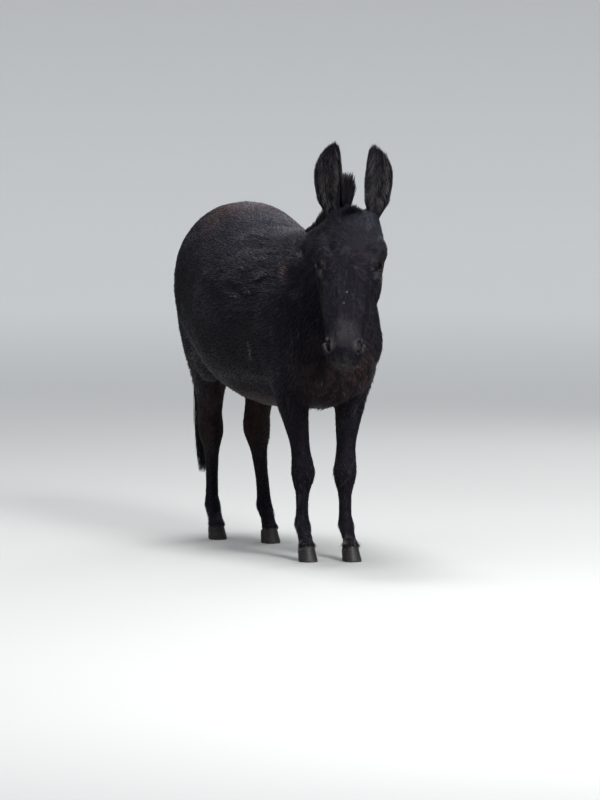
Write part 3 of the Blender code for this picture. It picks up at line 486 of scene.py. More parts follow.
@dataclass(frozen=True)
class HeadFrame:
    """The head's own directions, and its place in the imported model."""

    pitch: float = math.radians(24)
    yaw: float = math.radians(26)
    roll: float = math.radians(-2.3)
    drawn_poll: tuple = (-0.042, -0.665, 1.088)
    eye_place: tuple = (0.178, -0.031, 0.0800)
    eye_look: tuple = (0.00, 0.72, 0.69)
    eye_slant: float = math.radians(32)

    def axes(self) -> tuple[Vector, Vector, Vector]:
        """The directions along the head, out of the face, and to the mule's left."""
        ahead = Vector((-math.sin(self.yaw), -math.cos(self.yaw), 0))
        up = Vector((0, 0, 1))
        along = ahead * math.sin(self.pitch) - up * math.cos(self.pitch)
        out = ahead * math.cos(self.pitch) + up * math.sin(self.pitch)
        along = Matrix.Rotation(self.roll, 3, out) @ along
        return along, out, out.cross(along)

    def poll(self) -> Vector:
        """The top of the head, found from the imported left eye."""
        low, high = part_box("eye_left")
        along, out, aside = self.axes()
        a, o, s = self.eye_place
        return (low + high) / 2 - along * a - out * o - aside * s

    def shift(self) -> Vector:
        """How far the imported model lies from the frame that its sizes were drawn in."""
        return self.poll() - Vector(self.drawn_poll)

    def point(self, a: float, o: float, s: float) -> Vector:
        """A place in the head's own frame."""
        along, out, aside = self.axes()
        return self.poll() + along * a + out * o + aside * s

    def inside(self, points: np.ndarray) -> np.ndarray:
        """The points in the head's own frame: along, out and aside."""
        return (points - np.array(self.poll())) @ np.array(self.axes()).T

    def eye(self, side: Side) -> tuple[Vector, Vector, Vector, Vector]:
        """An eye's centre, its look, its long axis and the way across its lids, upwards."""
        along, out, aside = self.axes()
        a, o, s = self.eye_place
        centre = self.point(a, o, side.value * s)
        look = (along * self.eye_look[0] + out * self.eye_look[1] + aside * side.value * self.eye_look[2]).normalized()
        slant = along * math.cos(self.eye_slant) + out * math.sin(self.eye_slant)
        corner = -slant.cross(look).cross(look).normalized()
        across = look.cross(corner)
        if across.dot(along) > 0:
            across = -across
        return centre, look, corner, across

    def share(self, points: np.ndarray) -> np.ndarray:
        """How much each point belongs to the head, 0 on the neck to 1 on the head."""
        place = np.array(Vector((-0.040, -0.592, 0.98)) + self.shift())
        way = unit(np.array((-0.30, -0.93, -0.25)))
        return eased(-0.04, 0.03, (points - place) @ way)


HEAD = HeadFrame()
SHIFT = HEAD.shift()
NOSTRIL = 0.430


def drawn_place(point: tuple) -> tuple:
    """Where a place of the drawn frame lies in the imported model."""
    return tuple(value + moved for value, moved in zip(point, SHIFT))


def from_nostril(a: np.ndarray, aside: np.ndarray) -> np.ndarray:
    """How far outwards of the nostril's slit each place of the head lies."""
    along = a - NOSTRIL
    return aside - (0.049 - 0.42 * along + 9.0 * along**2)


def from_mouth(a: np.ndarray, o: np.ndarray) -> np.ndarray:
    """How far out of the mouth's line each place of the head lies."""
    return o + 0.0905 + 0.10 * (a - 0.46)


# The ears


@dataclass
class Ear:
    """One long cupped ear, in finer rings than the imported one."""

    side: Side
    length: float = 0.228
    wall: float = 0.0042
    thin_edge: float = 0.45
    arc_points: int = 25
    root: tuple = (0.022, -0.062, 0.062)
    turn_out: float = math.radians(8)
    lean_out: float = math.radians(4.5)
    lean_ahead: dict = field(default_factory=lambda: {Side.LEFT: math.radians(-13), Side.RIGHT: math.radians(6)})
    # share of length, outer edge, inner edge, depth, half turn of the shell in degrees
    stations: tuple = (
        (0.00, 0.0110, -0.0270, 0.0200, 168),
        (0.10, 0.0235, -0.0250, 0.0230, 158),
        (0.20, 0.0335, -0.0275, 0.0260, 138),
        (0.36, 0.0415, -0.0330, 0.0275, 118),
        (0.53, 0.0440, -0.0370, 0.0260, 106),
        (0.69, 0.0400, -0.0375, 0.0215, 98),
        (0.82, 0.0270, -0.0370, 0.0160, 93),
        (0.92, 0.0095, -0.0355, 0.0105, 89),
        (0.97, -0.0055, -0.0330, 0.0070, 86),
        (1.00, -0.0190, -0.0260, 0.0035, 84),
    )

    def axes(self) -> tuple[Vector, Vector, Vector]:
        """The ear's directions: to the front, outwards, and up to its tip."""
        out = HEAD.axes()[1]
        front = Vector((out.x, out.y, 0)).normalized()
        outward = (front.cross(Vector((0, 0, -1))) * self.side.value).normalized()
        turn = Matrix.Rotation(self.side.value * self.turn_out, 3, "Z")
        ahead, outward = turn @ front, turn @ outward
        up = Vector((0, 0, 1)) + outward * math.tan(self.lean_out) + ahead * math.tan(self.lean_ahead[self.side])
        return ahead, outward, (Matrix.Rotation(HEAD.roll, 3, out) @ up).normalized()

    def foot(self) -> Vector:
        """Where the ear grows from the head."""
        return HEAD.point(self.root[0], self.root[1], self.side.value * self.root[2])

    def reach(self, points: np.ndarray) -> tuple[np.ndarray, np.ndarray]:
        """Each point's height along the ear, and its distance from the ear's axis."""
        away, up = points - np.array(self.foot()), np.array(self.axes()[2])
        height = away @ up
        return height, np.linalg.norm(away - height[:, None] * up, axis=1)

    def section(self, share: float, turns: np.ndarray, sunk: float) -> np.ndarray:
        """Points of the shell at one height.

        Args:
            share: the height as a share of the ear's length.
            turns: places round the shell, -1 at its inner edge to 1 at its outer edge.
            sunk: how far in from the outer surface, as a share of the wall.

        Returns:
            One row for each place.
        """
        ahead, outward, up = self.axes()
        outer, inner, depth, half_turn = along_rows(self.stations, np.array([share]))[0]
        half = (outer - inner) / 2
        centre = self.foot() + up * (share * self.length) + outward * (outer + inner) / 2
        wall = min(self.wall, 0.45 * depth, 0.45 * half)
        rows = []
        for place in turns:
            turn = math.radians(half_turn) * place
            thin = wall * (1 - (1 - self.thin_edge) * place**4) * sunk
            rows.append(centre + outward * (math.sin(turn) * (half - thin)) - ahead * (math.cos(turn) * (depth - thin)))
        return np.array(rows)

    def shell(self) -> bpy.types.Object:
        """The closed shell of the ear."""
        turns = np.linspace(-1, 1, self.arc_points)
        shares = np.concatenate([np.linspace(-0.03, 0.9, 40), [0.925, 0.95, 0.97, 0.985, 0.995, 1.0]])
        rings = [np.concatenate([self.section(s, turns, 0.0), self.section(s, turns[::-1], 1.0)]) for s in shares]
        return loft("ear", rings)


# The skin


def withers_lines(points: np.ndarray) -> np.ndarray:
    """The fine ridges that fan back from the withers, -1 in their hollows to 1 on top."""
    x, y, z = (points - np.array(SHIFT)).T
    fan, reach = np.arctan2(z - 1.02, y + 0.22), np.hypot(z - 1.02, y + 0.22)
    ripples = np.sin(fan * 21 + reach * 26 + 1.2 * np.sin(reach * 41)) * eased(0.05, 0.10, reach)
    return ripples * eased(0.36, 0.18, reach) * eased(0.01, 0.04, np.abs(x)) * (z < 1.03)


@dataclass
class Skin:
    """One skin over head, ears, neck, trunk and legs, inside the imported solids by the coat's depth."""

    voxel: float = 0.0034
    overlap: float = 0.0006
    rounds: int = 34
    faces: int = 120_000
    body_depth: float = 0.0022
    face_depth: float = 0.0010
    leg_depth: float = 0.0006
    eye_radius: float = 0.0190
    # height, place along the body of the shoulder blade's front edge
    shoulder_edge: tuple = (
        (0.55, -0.300), (0.64, -0.330), (0.78, -0.342), (0.86, -0.374), (0.93, -0.345), (1.00, -0.310),
    )
    piece: bpy.types.Object = None

    def build(self) -> bpy.types.Object:
        """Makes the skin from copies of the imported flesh."""
        self.piece = self.fused()
        self.smooth_and_sink()
        self.add_ears()
        self.thin_out()
        self.refine()
        self.carve()
        return shaded(self.piece)

    def fused(self) -> bpy.types.Object:
        """Copies of the flesh nodes and eyes, grown until they overlap and fused by voxels."""
        work = bmesh.new()
        for name in (*FLESH, "eye_left", "eye_right"):
            part = bmesh.new()
            part.from_mesh(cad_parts[name].data)
            bmesh.ops.remove_doubles(part, verts=part.verts, dist=1e-5)
            part.normal_update()
            for vertex in part.verts:
                vertex.co += vertex.normal * self.overlap
            held = bpy.data.meshes.new("part")
            part.to_mesh(held)
            part.free()
            work.from_mesh(held)
            bpy.data.meshes.remove(held)
        mesh = bpy.data.meshes.new("skin")
        work.to_mesh(mesh)
        work.free()
        piece = linked("skin", mesh)
        remesh = piece.modifiers.new("fuse", "REMESH")
        remesh.mode = "VOXEL"
        remesh.voxel_size = self.voxel
        remesh.adaptivity = 0.0
        return applied(piece)

    def smooth_and_sink(self) -> None:
        """Rounds off the solids' facets, most on the trunk, and sinks the skin by the coat's depth."""
        mesh = self.piece.data
        points = points_of(mesh)
        head = HEAD.share(points)
        leg = eased(0.52, 0.40, points[:, 2])
        fine = np.maximum(head, leg)
        near_eyes = np.zeros(len(points))
        for side in Side:
            centre = np.array(HEAD.eye(side)[0])
            near_eyes = np.maximum(near_eyes, eased(0.05, 0.03, np.linalg.norm(points - centre, axis=1)))
        muzzle = eased(0.36, 0.42, HEAD.inside(points)[:, 0]) * head
        share = 1.0 - 0.45 * fine
        share *= 1.0 - 0.6 * np.maximum(near_eyes, muzzle)
        points = spread_out(points, edges_of(mesh), share, self.rounds, True)
        set_points(mesh, points)
        depth = self.body_depth + (self.face_depth - self.body_depth) * head
        depth = depth + (self.leg_depth - depth) * leg
        set_points(mesh, points - normals_of(mesh) * (depth + self.overlap)[:, None])

    def add_ears(self) -> None:
        """Joins the ears to the head and rounds the joint."""
        for side in Side:
            shell = Ear(side).shell()
            union = self.piece.modifiers.new("ear", "BOOLEAN")
            union.operation = "UNION"
            union.solver = "MANIFOLD"
            union.object = shell
            applied(self.piece)
            removed(shell)
        mesh = self.piece.data
        points = points_of(mesh)
        share = np.zeros(len(points))
        for side in Side:
            ear = Ear(side)
            height = ear.reach(points)[0]
            aside = np.linalg.norm(points - np.array(ear.foot()), axis=1)
            share = np.maximum(share, eased(0.045, 0.028, np.abs(height - 0.012)) * eased(0.075, 0.055, aside))
        set_points(mesh, spread_out(points, edges_of(mesh), share, 10, False))

    def thin_out(self) -> None:
        """Fewer, larger faces on trunk and legs, while head and ears keep theirs."""
        points = points_of(self.piece.data)
        height = HEAD.share(points)
        group = self.piece.vertex_groups.new(name="thin")
        for index, keep in enumerate(height.tolist()):
            group.add((index,), 1.0 - keep, "REPLACE")
        fewer = self.piece.modifiers.new("fewer", "DECIMATE")
        fewer.ratio = self.faces / max(1, sum(len(f.vertices) - 2 for f in self.piece.data.polygons))
        fewer.vertex_group = "thin"
        fewer.vertex_group_factor = 0.35
        applied(self.piece)
        self.piece.vertex_groups.clear()

    def refine(self) -> None:
        """Splits the faces round eyes, nostrils and mouth."""
        work = bmesh.new()
        work.from_mesh(self.piece.data)
        bmesh.ops.triangulate(work, faces=work.faces)
        for reach in (1.0, 0.72):
            places = [(np.array(HEAD.eye(side)[0]), 0.036 * reach) for side in Side]
            spots = [(np.array(HEAD.point(NOSTRIL, -0.029, side.value * 0.048)), 0.034 * reach) for side in Side]
            spots += [(np.array(HEAD.point(0.462, -0.088, a)), 0.030 * reach) for a in (-0.02, 0.0, 0.02)]
            near = set()
            for vertex in work.verts:
                here = np.array(vertex.co)
                if any(np.sum((here - place) ** 2) < size * size for place, size in places + spots):
                    near.add(vertex)
            edges = [e for e in work.edges if e.verts[0] in near and e.verts[1] in near]
            bmesh.ops.subdivide_edges(work, edges=edges, cuts=1, use_grid_fill=True)
            bmesh.ops.triangulate(work, faces=[f for f in work.faces if len(f.verts) > 3])
        work.to_mesh(self.piece.data)
        work.free()

    def carve(self) -> None:
        """Moves the skin into lids, nostrils, lips and folds."""
        mesh = self.piece.data
        points = points_of(mesh)
        for side in Side:
            points = self.lids(points, side)
        set_points(mesh, points)
        normals = normals_of(mesh)
        points = points + normals * (self.muzzle_relief(points) + self.folds(points))[:, None]
        set_points(mesh, points)

    def lids(self, points: np.ndarray, side: Side) -> np.ndarray:
        """Opens an almond over the eyeball and lays lids on it.

        Args:
            points: the skin's points.
            side: which eye.

        Returns:
            The moved points.
        """
        centre, look, corner, across = (np.array(v) for v in HEAD.eye(side))
        away = points - centre
        distance = np.linalg.norm(away, axis=1)
        x, y, depth = away @ corner, away @ across, away @ look
        half_long, half_high = 0.0186, np.where(y > 0, 0.0094, 0.0106)
        edge = np.abs(y) - half_high * np.clip(1 - (x / half_long) ** 2, -0.6, 1)
        edge = np.maximum(edge, np.abs(x) - half_long)
        here = (distance < 0.045) & (depth > -0.004)
        upper = y > 0
        lid = self.eye_radius + 0.0028 - 0.0012 * hump(edge - 0.0062, 0.0013) * upper
        lid = lid - 0.0009 * hump(edge - 0.0105, 0.0013) * upper + 0.0008 * hump(edge - 0.0013, 0.0012)
        goal = np.where(edge < -0.0002, self.eye_radius - 0.0035, lid)
        share = np.where(here, eased(0.0135, 0.0075, edge), 0.0)
        moved = distance + (goal - distance) * share
        return centre + away * (moved / np.maximum(distance, 1e-6))[:, None]

    def muzzle_relief(self, points: np.ndarray) -> np.ndarray:
        """How far each point moves out for nostrils, lips and the creases round them."""
        a, o, s = HEAD.inside(points).T
        on_head = HEAD.share(points)
        relief = np.zeros(len(points))
        for sign in (1, -1):
            bent = from_nostril(a, s * sign)
            reach = eased(0.030, 0.010, np.abs(a - NOSTRIL)) * eased(0.055, 0.035, np.abs(o + 0.029))
            relief -= 0.0095 * hump(bent, 0.0036) * reach
            relief += 0.0038 * (hump(bent - 0.0092, 0.0036) + 0.8 * hump(bent + 0.0088, 0.0036)) * reach
            relief -= 0.0022 * hump(bent - 0.0170, 0.0032) * reach
        front = eased(0.37, 0.44, a) * on_head
        line = from_mouth(a, o)
        relief -= 0.0060 * hump(line, 0.0020) * front
        relief += 0.0016 * (hump(line - 0.0075, 0.004) + hump(line + 0.0075, 0.004)) * front
        relief -= 0.0008 * hump(s, 0.0030) * eased(0.440, 0.455, a) * eased(-0.085, -0.06, o) * on_head
        waves = np.sin(a * 620 + 2.5 * np.sin(s * 90)) * eased(0.35, 0.38, a) * eased(0.43, 0.41, a)
        creases = np.sin(a * 480 + 2.0 * np.sin(s * 110)) * eased(0.448, 0.458, a) * eased(-0.088, -0.075, o)
        chin = np.hypot((a - 0.438) / 1.4, o + 0.112)
        relief += 0.0040 * hump(chin, 0.016) * on_head
        return relief + (0.0003 * waves * eased(-0.02, -0.05, o) + 0.0004 * creases) * on_head

    def folds(self, points: np.ndarray) -> np.ndarray:
        """How far each point moves out for the skin's folds and the veins of the face."""
        x, y, z = (points - np.array(SHIFT)).T
        relief = np.zeros(len(points))
        shoulder = y - along_rows(self.shoulder_edge, np.clip(z, 0.55, 1.0))[:, 0]
        crease = eased(0.60, 0.68, z) * eased(1.02, 0.96, z) * eased(0.04, 0.09, np.abs(x))
        relief -= 0.0042 * hump(shoulder, 0.011) * crease
        relief += 0.0040 * hump(shoulder - 0.040, 0.030) * crease
        blade = (y + 0.235) * 0.90 + (z - 0.88) * 0.42
        relief += 0.0028 * hump(blade, 0.012) * eased(0.74, 0.80, z) * eased(0.99, 0.94, z)
        relief += 0.0026 * withers_lines(points)
        thigh = np.hypot((y - 0.36) * 0.9, (z - 0.66) * 0.6)
        relief += 0.0050 * hump(thigh, 0.075) * eased(0.03, 0.08, np.abs(x))
        relief -= 0.0030 * hump((y - 0.455) + 0.25 * (z - 0.70), 0.012) * eased(0.52, 0.60, z) * eased(0.90, 0.80, z)
        relief += 0.0045 * hump(np.hypot(y + 0.262, (z - 0.68) * 0.7), 0.050) * eased(0.05, 0.10, np.abs(x))
        ribs = np.sin((y + 0.25 * z) * 150) * hump(z - 0.80, 0.10) * eased(-0.14, -0.08, y) * eased(0.14, 0.06, y)
        relief += 0.0006 * ribs
        hip = np.hypot((y - 0.255) * 0.8, z - 0.985)
        relief += 0.0045 * hump(hip, 0.035) * eased(0.07, 0.11, np.abs(x))
        elbow = (y + 0.235) * 0.95 + (z - 0.56) * 0.3
        relief -= 0.0030 * hump(elbow, 0.010) * eased(0.46, 0.52, z) * eased(0.70, 0.62, z)
        flank = (y - 0.150) - 0.55 * (z - 0.62)
        relief -= 0.0034 * hump(flank, 0.014) * eased(0.50, 0.56, z) * eased(0.86, 0.72, z)
        relief += 0.0020 * hump(flank - 0.03, 0.018) * eased(0.50, 0.56, z) * eased(0.86, 0.72, z)
        knee = np.sin(z * 520 + 1.5 * np.sin(x * 150)) * hump(z - 0.285, 0.020) * (y < 0)
        relief += 0.0006 * knee
        relief += 0.0028 * hump(z - 0.050, 0.009)
        for fx, fy in Lie.pasterns():
            turn = np.arctan2(x - fx, -(y - fy))
            near = eased(0.10, 0.06, np.hypot(x - fx, y - fy)) * eased(0.40, 0.37, z)
            tendon = hump(np.abs(turn) - 2.1, 0.30) * eased(0.10, 0.13, z) * eased(0.24, 0.20, z)
            relief -= 0.0022 * tendon * near
            joint = 0.285 if fy < 0 else 0.330
            knobs = hump(z - joint - 0.022, 0.007) + hump(z - joint + 0.022, 0.007)
            relief += 0.0016 * knobs * near * hump(turn, 1.2)
        return relief + self.face(points) * HEAD.share(points)

    def face(self, points: np.ndarray) -> np.ndarray:
        """How far each point of the head moves out for its bones, hollows and veins."""
        a, o, s = HEAD.inside(points).T
        wide = np.abs(s)
        relief = np.zeros(len(points))
        # place along, out and aside, reach along, out and aside, height
        for along, out, aside, la, lo, ls, high in (
            (0.140, -0.008, 0.058, 0.018, 0.030, 0.015, -0.0060),
            (0.152, -0.024, 0.084, 0.012, 0.020, 0.014, 0.0034),
            (0.178, -0.004, 0.056, 0.020, 0.014, 0.010, 0.0026),
            (0.228, -0.036, 0.060, 0.022, 0.016, 0.020, -0.0034),
            (0.384, -0.024, 0.036, 0.020, 0.022, 0.012, -0.0036),
            (0.120, 0.000, 0.022, 0.050, 0.030, 0.014, 0.0014),
            (0.300, -0.030, 0.040, 0.060, 0.018, 0.012, -0.0022),
            (0.250, -0.110, 0.050, 0.070, 0.030, 0.030, 0.0022),
        ):
            far = ((a - along) / la) ** 2 + ((o - out) / lo) ** 2 + ((wide - aside) / ls) ** 2
            relief += high * np.exp(-far)
        crest = hump(o + 0.056 + 0.10 * (a - 0.2), 0.0065) * eased(0.19, 0.22, a) * eased(0.34, 0.28, a)
        relief += 0.0040 * crest
        nasal = hump(wide - (0.027 - 0.045 * (a - 0.22)), 0.006) * eased(0.20, 0.25, a) * eased(0.40, 0.36, a)
        relief += 0.0016 * nasal * eased(-0.03, -0.01, o)
        vein = hump(a - 0.30 - 0.9 * (o + 0.06) - 0.004 * np.sin(o * 260), 0.0032) * eased(-0.10, -0.07, o)
        relief += 0.0014 * vein * eased(-0.005, -0.03, o)
        brow = np.sin((a * 0.8 + wide * 0.6) * 420) * hump(a - 0.148, 0.016) * hump(wide - 0.072, 0.014)
        cheek = np.sin((o + 0.3 * a) * 190) * hump(o + 0.115, 0.03) * hump(a - 0.13, 0.05)
        return relief + 0.0005 * brow + 0.0006 * cheek


# How the coat lies


@dataclass
class Lie:
    """The direction, length and closeness of the short coat at each point of the skin."""

    points: np.ndarray
    normals: np.ndarray
    edges: np.ndarray
    hoof_line: float = 0.036

    def directions(self) -> np.ndarray:
        """The way that the hair lies, flat on the skin."""
        x, y, z = (self.points - np.array(SHIFT)).T

        def ways(*parts: "np.ndarray | float") -> np.ndarray:
            """A direction for each point, from its three parts."""
            return np.stack([np.broadcast_to(part, x.shape) for part in parts], 1)

        way = ways(0.0, 1.0, -0.30 - 0.5 * eased(0.2, 0.5, y))
        way = self.blended(way, ways(0.25 * np.sign(x), 0.1, -1.0), eased(-0.36, -0.46, y) * eased(0.92, 0.80, z))
        way = self.blended(way, ways(0.05, 0.75, -0.75), eased(-0.30, -0.40, y) * eased(0.70, 0.80, z))
        way = self.blended(way, ways(0.0, 0.35, -1.0), eased(0.40, 0.50, y))
        way = self.blended(way, ways(0.0, 0.22, -1.0), eased(0.56, 0.42, z))
        flank = np.hypot(y - 0.19, (z - 0.62) * 0.8)
        swirl = ways(0.0, -(z - 0.62), y - 0.19) * 8
        way = self.blended(way, swirl + np.array((0, 0.2, -0.2)), eased(0.10, 0.03, flank) * 0.7)
        along, out, aside = (np.array(v) for v in HEAD.axes())
        a, _, s = HEAD.inside(self.points).T
        face = along[None, :] + aside[None, :] * (s * 4.0)[:, None] - out[None, :] * 0.15
        turned_a, turned_s = (a - 0.145) - 0.7 * s, s + 0.7 * (a - 0.145)
        whorl = unit(along[None, :] * turned_a[:, None] + aside[None, :] * turned_s[:, None] - out[None, :] * 0.02)
        face = self.blended(whorl, face, eased(0.17, 0.26, a))
        way = self.blended(way, face, HEAD.share(self.points))
        for side in Side:
            height, off = Ear(side).reach(self.points)
            up = np.tile(np.array(Ear(side).axes()[2]), (len(x), 1))
            way = self.blended(way, up, eased(0.005, 0.03, height) * (off < 0.06))
        way = flattened(way, self.normals)
        way = spread_out(way, self.edges, np.full(len(x), 0.9), 14, False)
        wave = 0.13 * np.sin(x * 31 + z * 17) + 0.10 * np.sin(y * 37 - z * 23 + 1.3) + 0.08 * np.sin(z * 71 + y * 53)
        patches = np.random.default_rng(23).normal(size=(len(x), 1))
        patches = spread_out(patches, self.edges, np.ones(len(x)), 5, False)[:, 0]
        wave = wave + 0.16 * np.clip(patches / patches.std(), -2, 2)
        way = flattened(way, self.normals)
        return flattened(way + np.cross(self.normals, way) * wave[:, None], self.normals)

    def wisps(self, ways: np.ndarray) -> np.ndarray:
        """Where hair gathers into wisps.

        Args:
            ways: the directions that the hair lies in.

        Returns:
            For each point a value of about -1 to 1, which holds along the hair and changes across it.
        """
        count = len(self.points)
        first, second = self.edges[:, 0], self.edges[:, 1]
        run = unit(self.points[second] - self.points[first])
        pull = np.abs(np.sum(run * unit(ways[first] + ways[second]), axis=1)) ** 6 + 0.01
        total = np.bincount(first, pull, count) + np.bincount(second, pull, count)
        draw = np.random.default_rng(29)
        # The withers' ripples join the wisps, whose tone paints them as lines of painted sheen.
        sum_of = 1.1 * withers_lines(self.points)
        for rounds, strength in ((6, 0.52), (60, 0.42)):
            value = draw.normal(size=count)
            for _ in range(rounds):
                gathered = np.bincount(first, pull * value[second], count)
                gathered = gathered + np.bincount(second, pull * value[first], count)
                value = 0.4 * value + 0.6 * gathered / np.maximum(total, 1e-9)
            sum_of = sum_of + strength * value / value.std()
        return np.clip(sum_of, -1.3, 1.3)

    @staticmethod
    def blended(first: np.ndarray, second: np.ndarray, share: np.ndarray) -> np.ndarray:
        """Rows between two sets of directions."""
        return unit(first) * (1 - share)[:, None] + unit(second) * share[:, None]

    def lengths(self) -> np.ndarray:
        """The hair's length in metres."""
        drawn = self.points - np.array(SHIFT)
        x, y, z = drawn.T
        a, o, _ = HEAD.inside(self.points).T
        length = np.full(len(drawn), 0.0230)
        length += 0.006 * eased(0.52, 0.46, z) * (np.abs(y) < 0.3)
        length += (0.0118 - length) * eased(0.50, 0.40, z)
        length += (0.0120 - length) * eased(0.12, 0.06, z)
        length += 0.030 * hump(np.hypot(x, y + 0.36), 0.030) * eased(0.56, 0.50, z)
        for place in self.pasterns():
            behind = (drawn[:, 1] > place[1]) & (np.hypot(x - place[0], y - place[1]) < 0.06)
            length += 0.008 * hump(z - 0.095, 0.030) * behind
        face = 0.0110 + (0.0066 - 0.0110) * eased(0.20, 0.42, a)
        face = face + 0.006 * eased(-0.10, -0.13, o)
        face = face + 0.004 * eased(0.08, 0.03, a)
        length += (face - length) * HEAD.share(self.points)
        length *= 1 - 0.35 * eased(-0.02, -0.06, a)
        for side in Side:
            centre = np.array(HEAD.eye(side)[0])
            length *= 1 - 0.55 * eased(0.045, 0.024, np.linalg.norm(self.points - centre, axis=1))
        return length

    @staticmethod
    def pasterns() -> tuple:
        """The middle of each lower leg, seen from above, in the drawn frame."""
        return ((0.065, -0.405), (-0.061, -0.360), (0.060, 0.245), (-0.050, 0.425))

    def closeness(self) -> np.ndarray:
        """How closely tufts stand, 1 where most."""
        a, o, s = HEAD.inside(self.points).T
        on_head = HEAD.share(self.points)
        close = np.ones(len(self.points))
        for side in Side:
            centre, look, corner, across = (np.array(v) for v in HEAD.eye(side))
            away = self.points - centre
            x, y = away @ corner, away @ across
            ahead = (away @ look > 0) & (np.linalg.norm(away, axis=1) < 0.035)
            close[(np.abs(y) < 0.0126) & (np.abs(x) < 0.0200) & ahead] = 0.0
            bent = from_nostril(a, side.value * s)
            hole = (np.abs(bent) < 0.006) & (np.abs(a - NOSTRIL) < 0.024) & (o > -0.07)
            close[hole & (on_head > 0.5)] = 0.0
        close *= 1 - 0.9 * hump(from_mouth(a, o), 0.003) * (a > 0.40) * on_head
        close[self.points[:, 2] < self.hoof_line] = 0.0
        return close


# Tufts and locks


@dataclass(frozen=True)
class TuftShape:
    """A thin tapered tuft along +Y, of length 1, width 1 and depth 1, sunk at its root."""

    name: str
    widths: tuple
    rise: tuple
    bend: float
    gather: float = 1.0

    def build(self, collection: bpy.types.Collection) -> None:
        """Adds the tuft's mesh to a collection, with its own little unwrap."""
        rings = len(self.widths)
        points, faces, patches = [], [], []
        for k, (width, up) in enumerate(zip(self.widths, self.rise)):
            run = (k / rings) ** self.gather
            middle = self.bend * run * run
            points += [(middle - width / 2, run, up), (middle + width / 2, run, up), (middle, run, up + width * 0.8)]
        points.append((self.bend, 1.0, self.rise[-1] * 0.6))
        tip = len(points) - 1
        faces.append((0, 2, 1))
        patches += [(0.40, 0.0), (0.5, 0.06), (0.60, 0.0)]
        for k in range(rings - 1):
            for s in range(3):
                a, b = 3 * k + s, 3 * k + (s + 1) % 3
                low, high = 0.08 + 0.9 * k / rings, 0.08 + 0.9 * (k + 1) / rings
                left, right = s / 3, (s + 1) / 3
                faces += [(a, b, b + 3), (a, b + 3, a + 3)]
                patches += [(left, low), (right, low), (right, high), (left, low), (right, high), (left, high)]
        for s in range(3):
            a, b = 3 * (rings - 1) + s, 3 * (rings - 1) + (s + 1) % 3
            low = 0.08 + 0.9 * (rings - 1) / rings
            faces.append((a, b, tip))
            patches += [(s / 3, low), ((s + 1) / 3, low), ((s + 0.5) / 3, 1.0)]
        mesh = bpy.data.meshes.new(self.name)
        mesh.from_pydata(points, [], faces)
        work = bmesh.new()
        work.from_mesh(mesh)
        turned = sum(f.normal.dot(f.calc_center_median() - Vector((self.bend * 0.3, 0.4, 0.2))) for f in work.faces) < 0
        work.free()
        layer = mesh.attributes.new("patch", "FLOAT2", "CORNER")
        layer.data.foreach_set("vector", np.array(patches, np.float32).ravel())
        if turned:
            mesh.flip_normals()
        mesh.update()
        collection.objects.link(bpy.data.objects.new(self.name, mesh))


SHORT_TUFTS = (
    TuftShape("short_a", (0.70, 1.0), (-0.9, 0.5), 1.5, 1.25),
    TuftShape("short_b", (0.60, 0.9), (-0.9, 0.7), -1.6, 1.25),
    TuftShape("short_c", (0.75, 0.8), (-0.9, 0.3), 0.3, 1.25),
    TuftShape("short_d", (0.60, 1.1), (-0.9, 0.4), -0.6, 1.25),
)
LONG_LOCKS = (
    TuftShape("long_a", (0.8, 1.0, 0.85, 0.6, 0.35), (-0.5, 0.0, 0.5, 0.3, -0.2), 1.3),
    TuftShape("long_b", (0.7, 0.95, 1.0, 0.7, 0.4), (-0.5, 0.1, 0.2, 0.8, 1.2), -1.4),
    TuftShape("long_c", (0.9, 1.0, 0.8, 0.55, 0.3), (-0.5, -0.1, -0.4, 0.1, 0.6), 0.3),
    TuftShape("long_d", (0.9, 0.9, 0.75, 0.5, 0.25), (-0.5, 0.2, 0.7, 0.4, 0.0), -0.5),
)
BRUSH_LOCKS = (
    TuftShape("brush_a", (0.8, 1.0, 1.0, 0.95, 0.8), (-0.5, 0.0, 0.4, 0.3, 0.0), 0.9, 0.85),
    TuftShape("brush_b", (0.7, 0.9, 1.0, 1.0, 0.9), (-0.5, 0.1, 0.2, 0.6, 0.8), -1.0, 0.85),
    TuftShape("brush_c", (0.9, 1.0, 0.9, 0.8, 0.7), (-0.5, -0.1, -0.3, 0.1, 0.3), 0.3, 0.85),
    TuftShape("brush_d", (0.9, 0.9, 0.95, 0.9, 0.75), (-0.5, 0.2, 0.5, 0.3, 0.0), -0.4, 0.85),
)


def shapes_in(name: str, shapes: tuple) -> bpy.types.Collection:
    """A hidden collection that holds tuft shapes."""
    collection = bpy.data.collections.new(name)
    for shape in shapes:
        shape.build(collection)
    return collection


@dataclass(frozen=True)
class Growth:
    """How tufts grow over a bed: the tufts' tree has an input of each name."""

    tufts_per_square_metre: float
    least_gap: float
    width: float
    depth: float
    lift: float
    unruly: float
    seed: int
    uneven: float = 0.25


MANE_GROWTH = Growth(370_000.0, 0.0006, 0.0024, 0.0014, 0.0, 0.13, 31, 0.09)
FORELOCK_GROWTH = Growth(380_000.0, 0.0007, 0.0020, 0.0011, 0.0, 0.24, 37)
LINING_GROWTH = Growth(110_000.0, 0.0012, 0.0011, 0.0006, 0.06, 0.18, 41)
DOCK_GROWTH = Growth(30_000.0, 0.0026, 0.0044, 0.0014, 0.04, 0.12, 43)
BRISTLE_GROWTH = Growth(34_000.0, 0.002, 0.0008, 0.0005, 0.5, 0.40, 47)
LASH_GROWTH = Growth(1_400_000.0, 0.0004, 0.0008, 0.0005, -0.1, 0.16, 51)


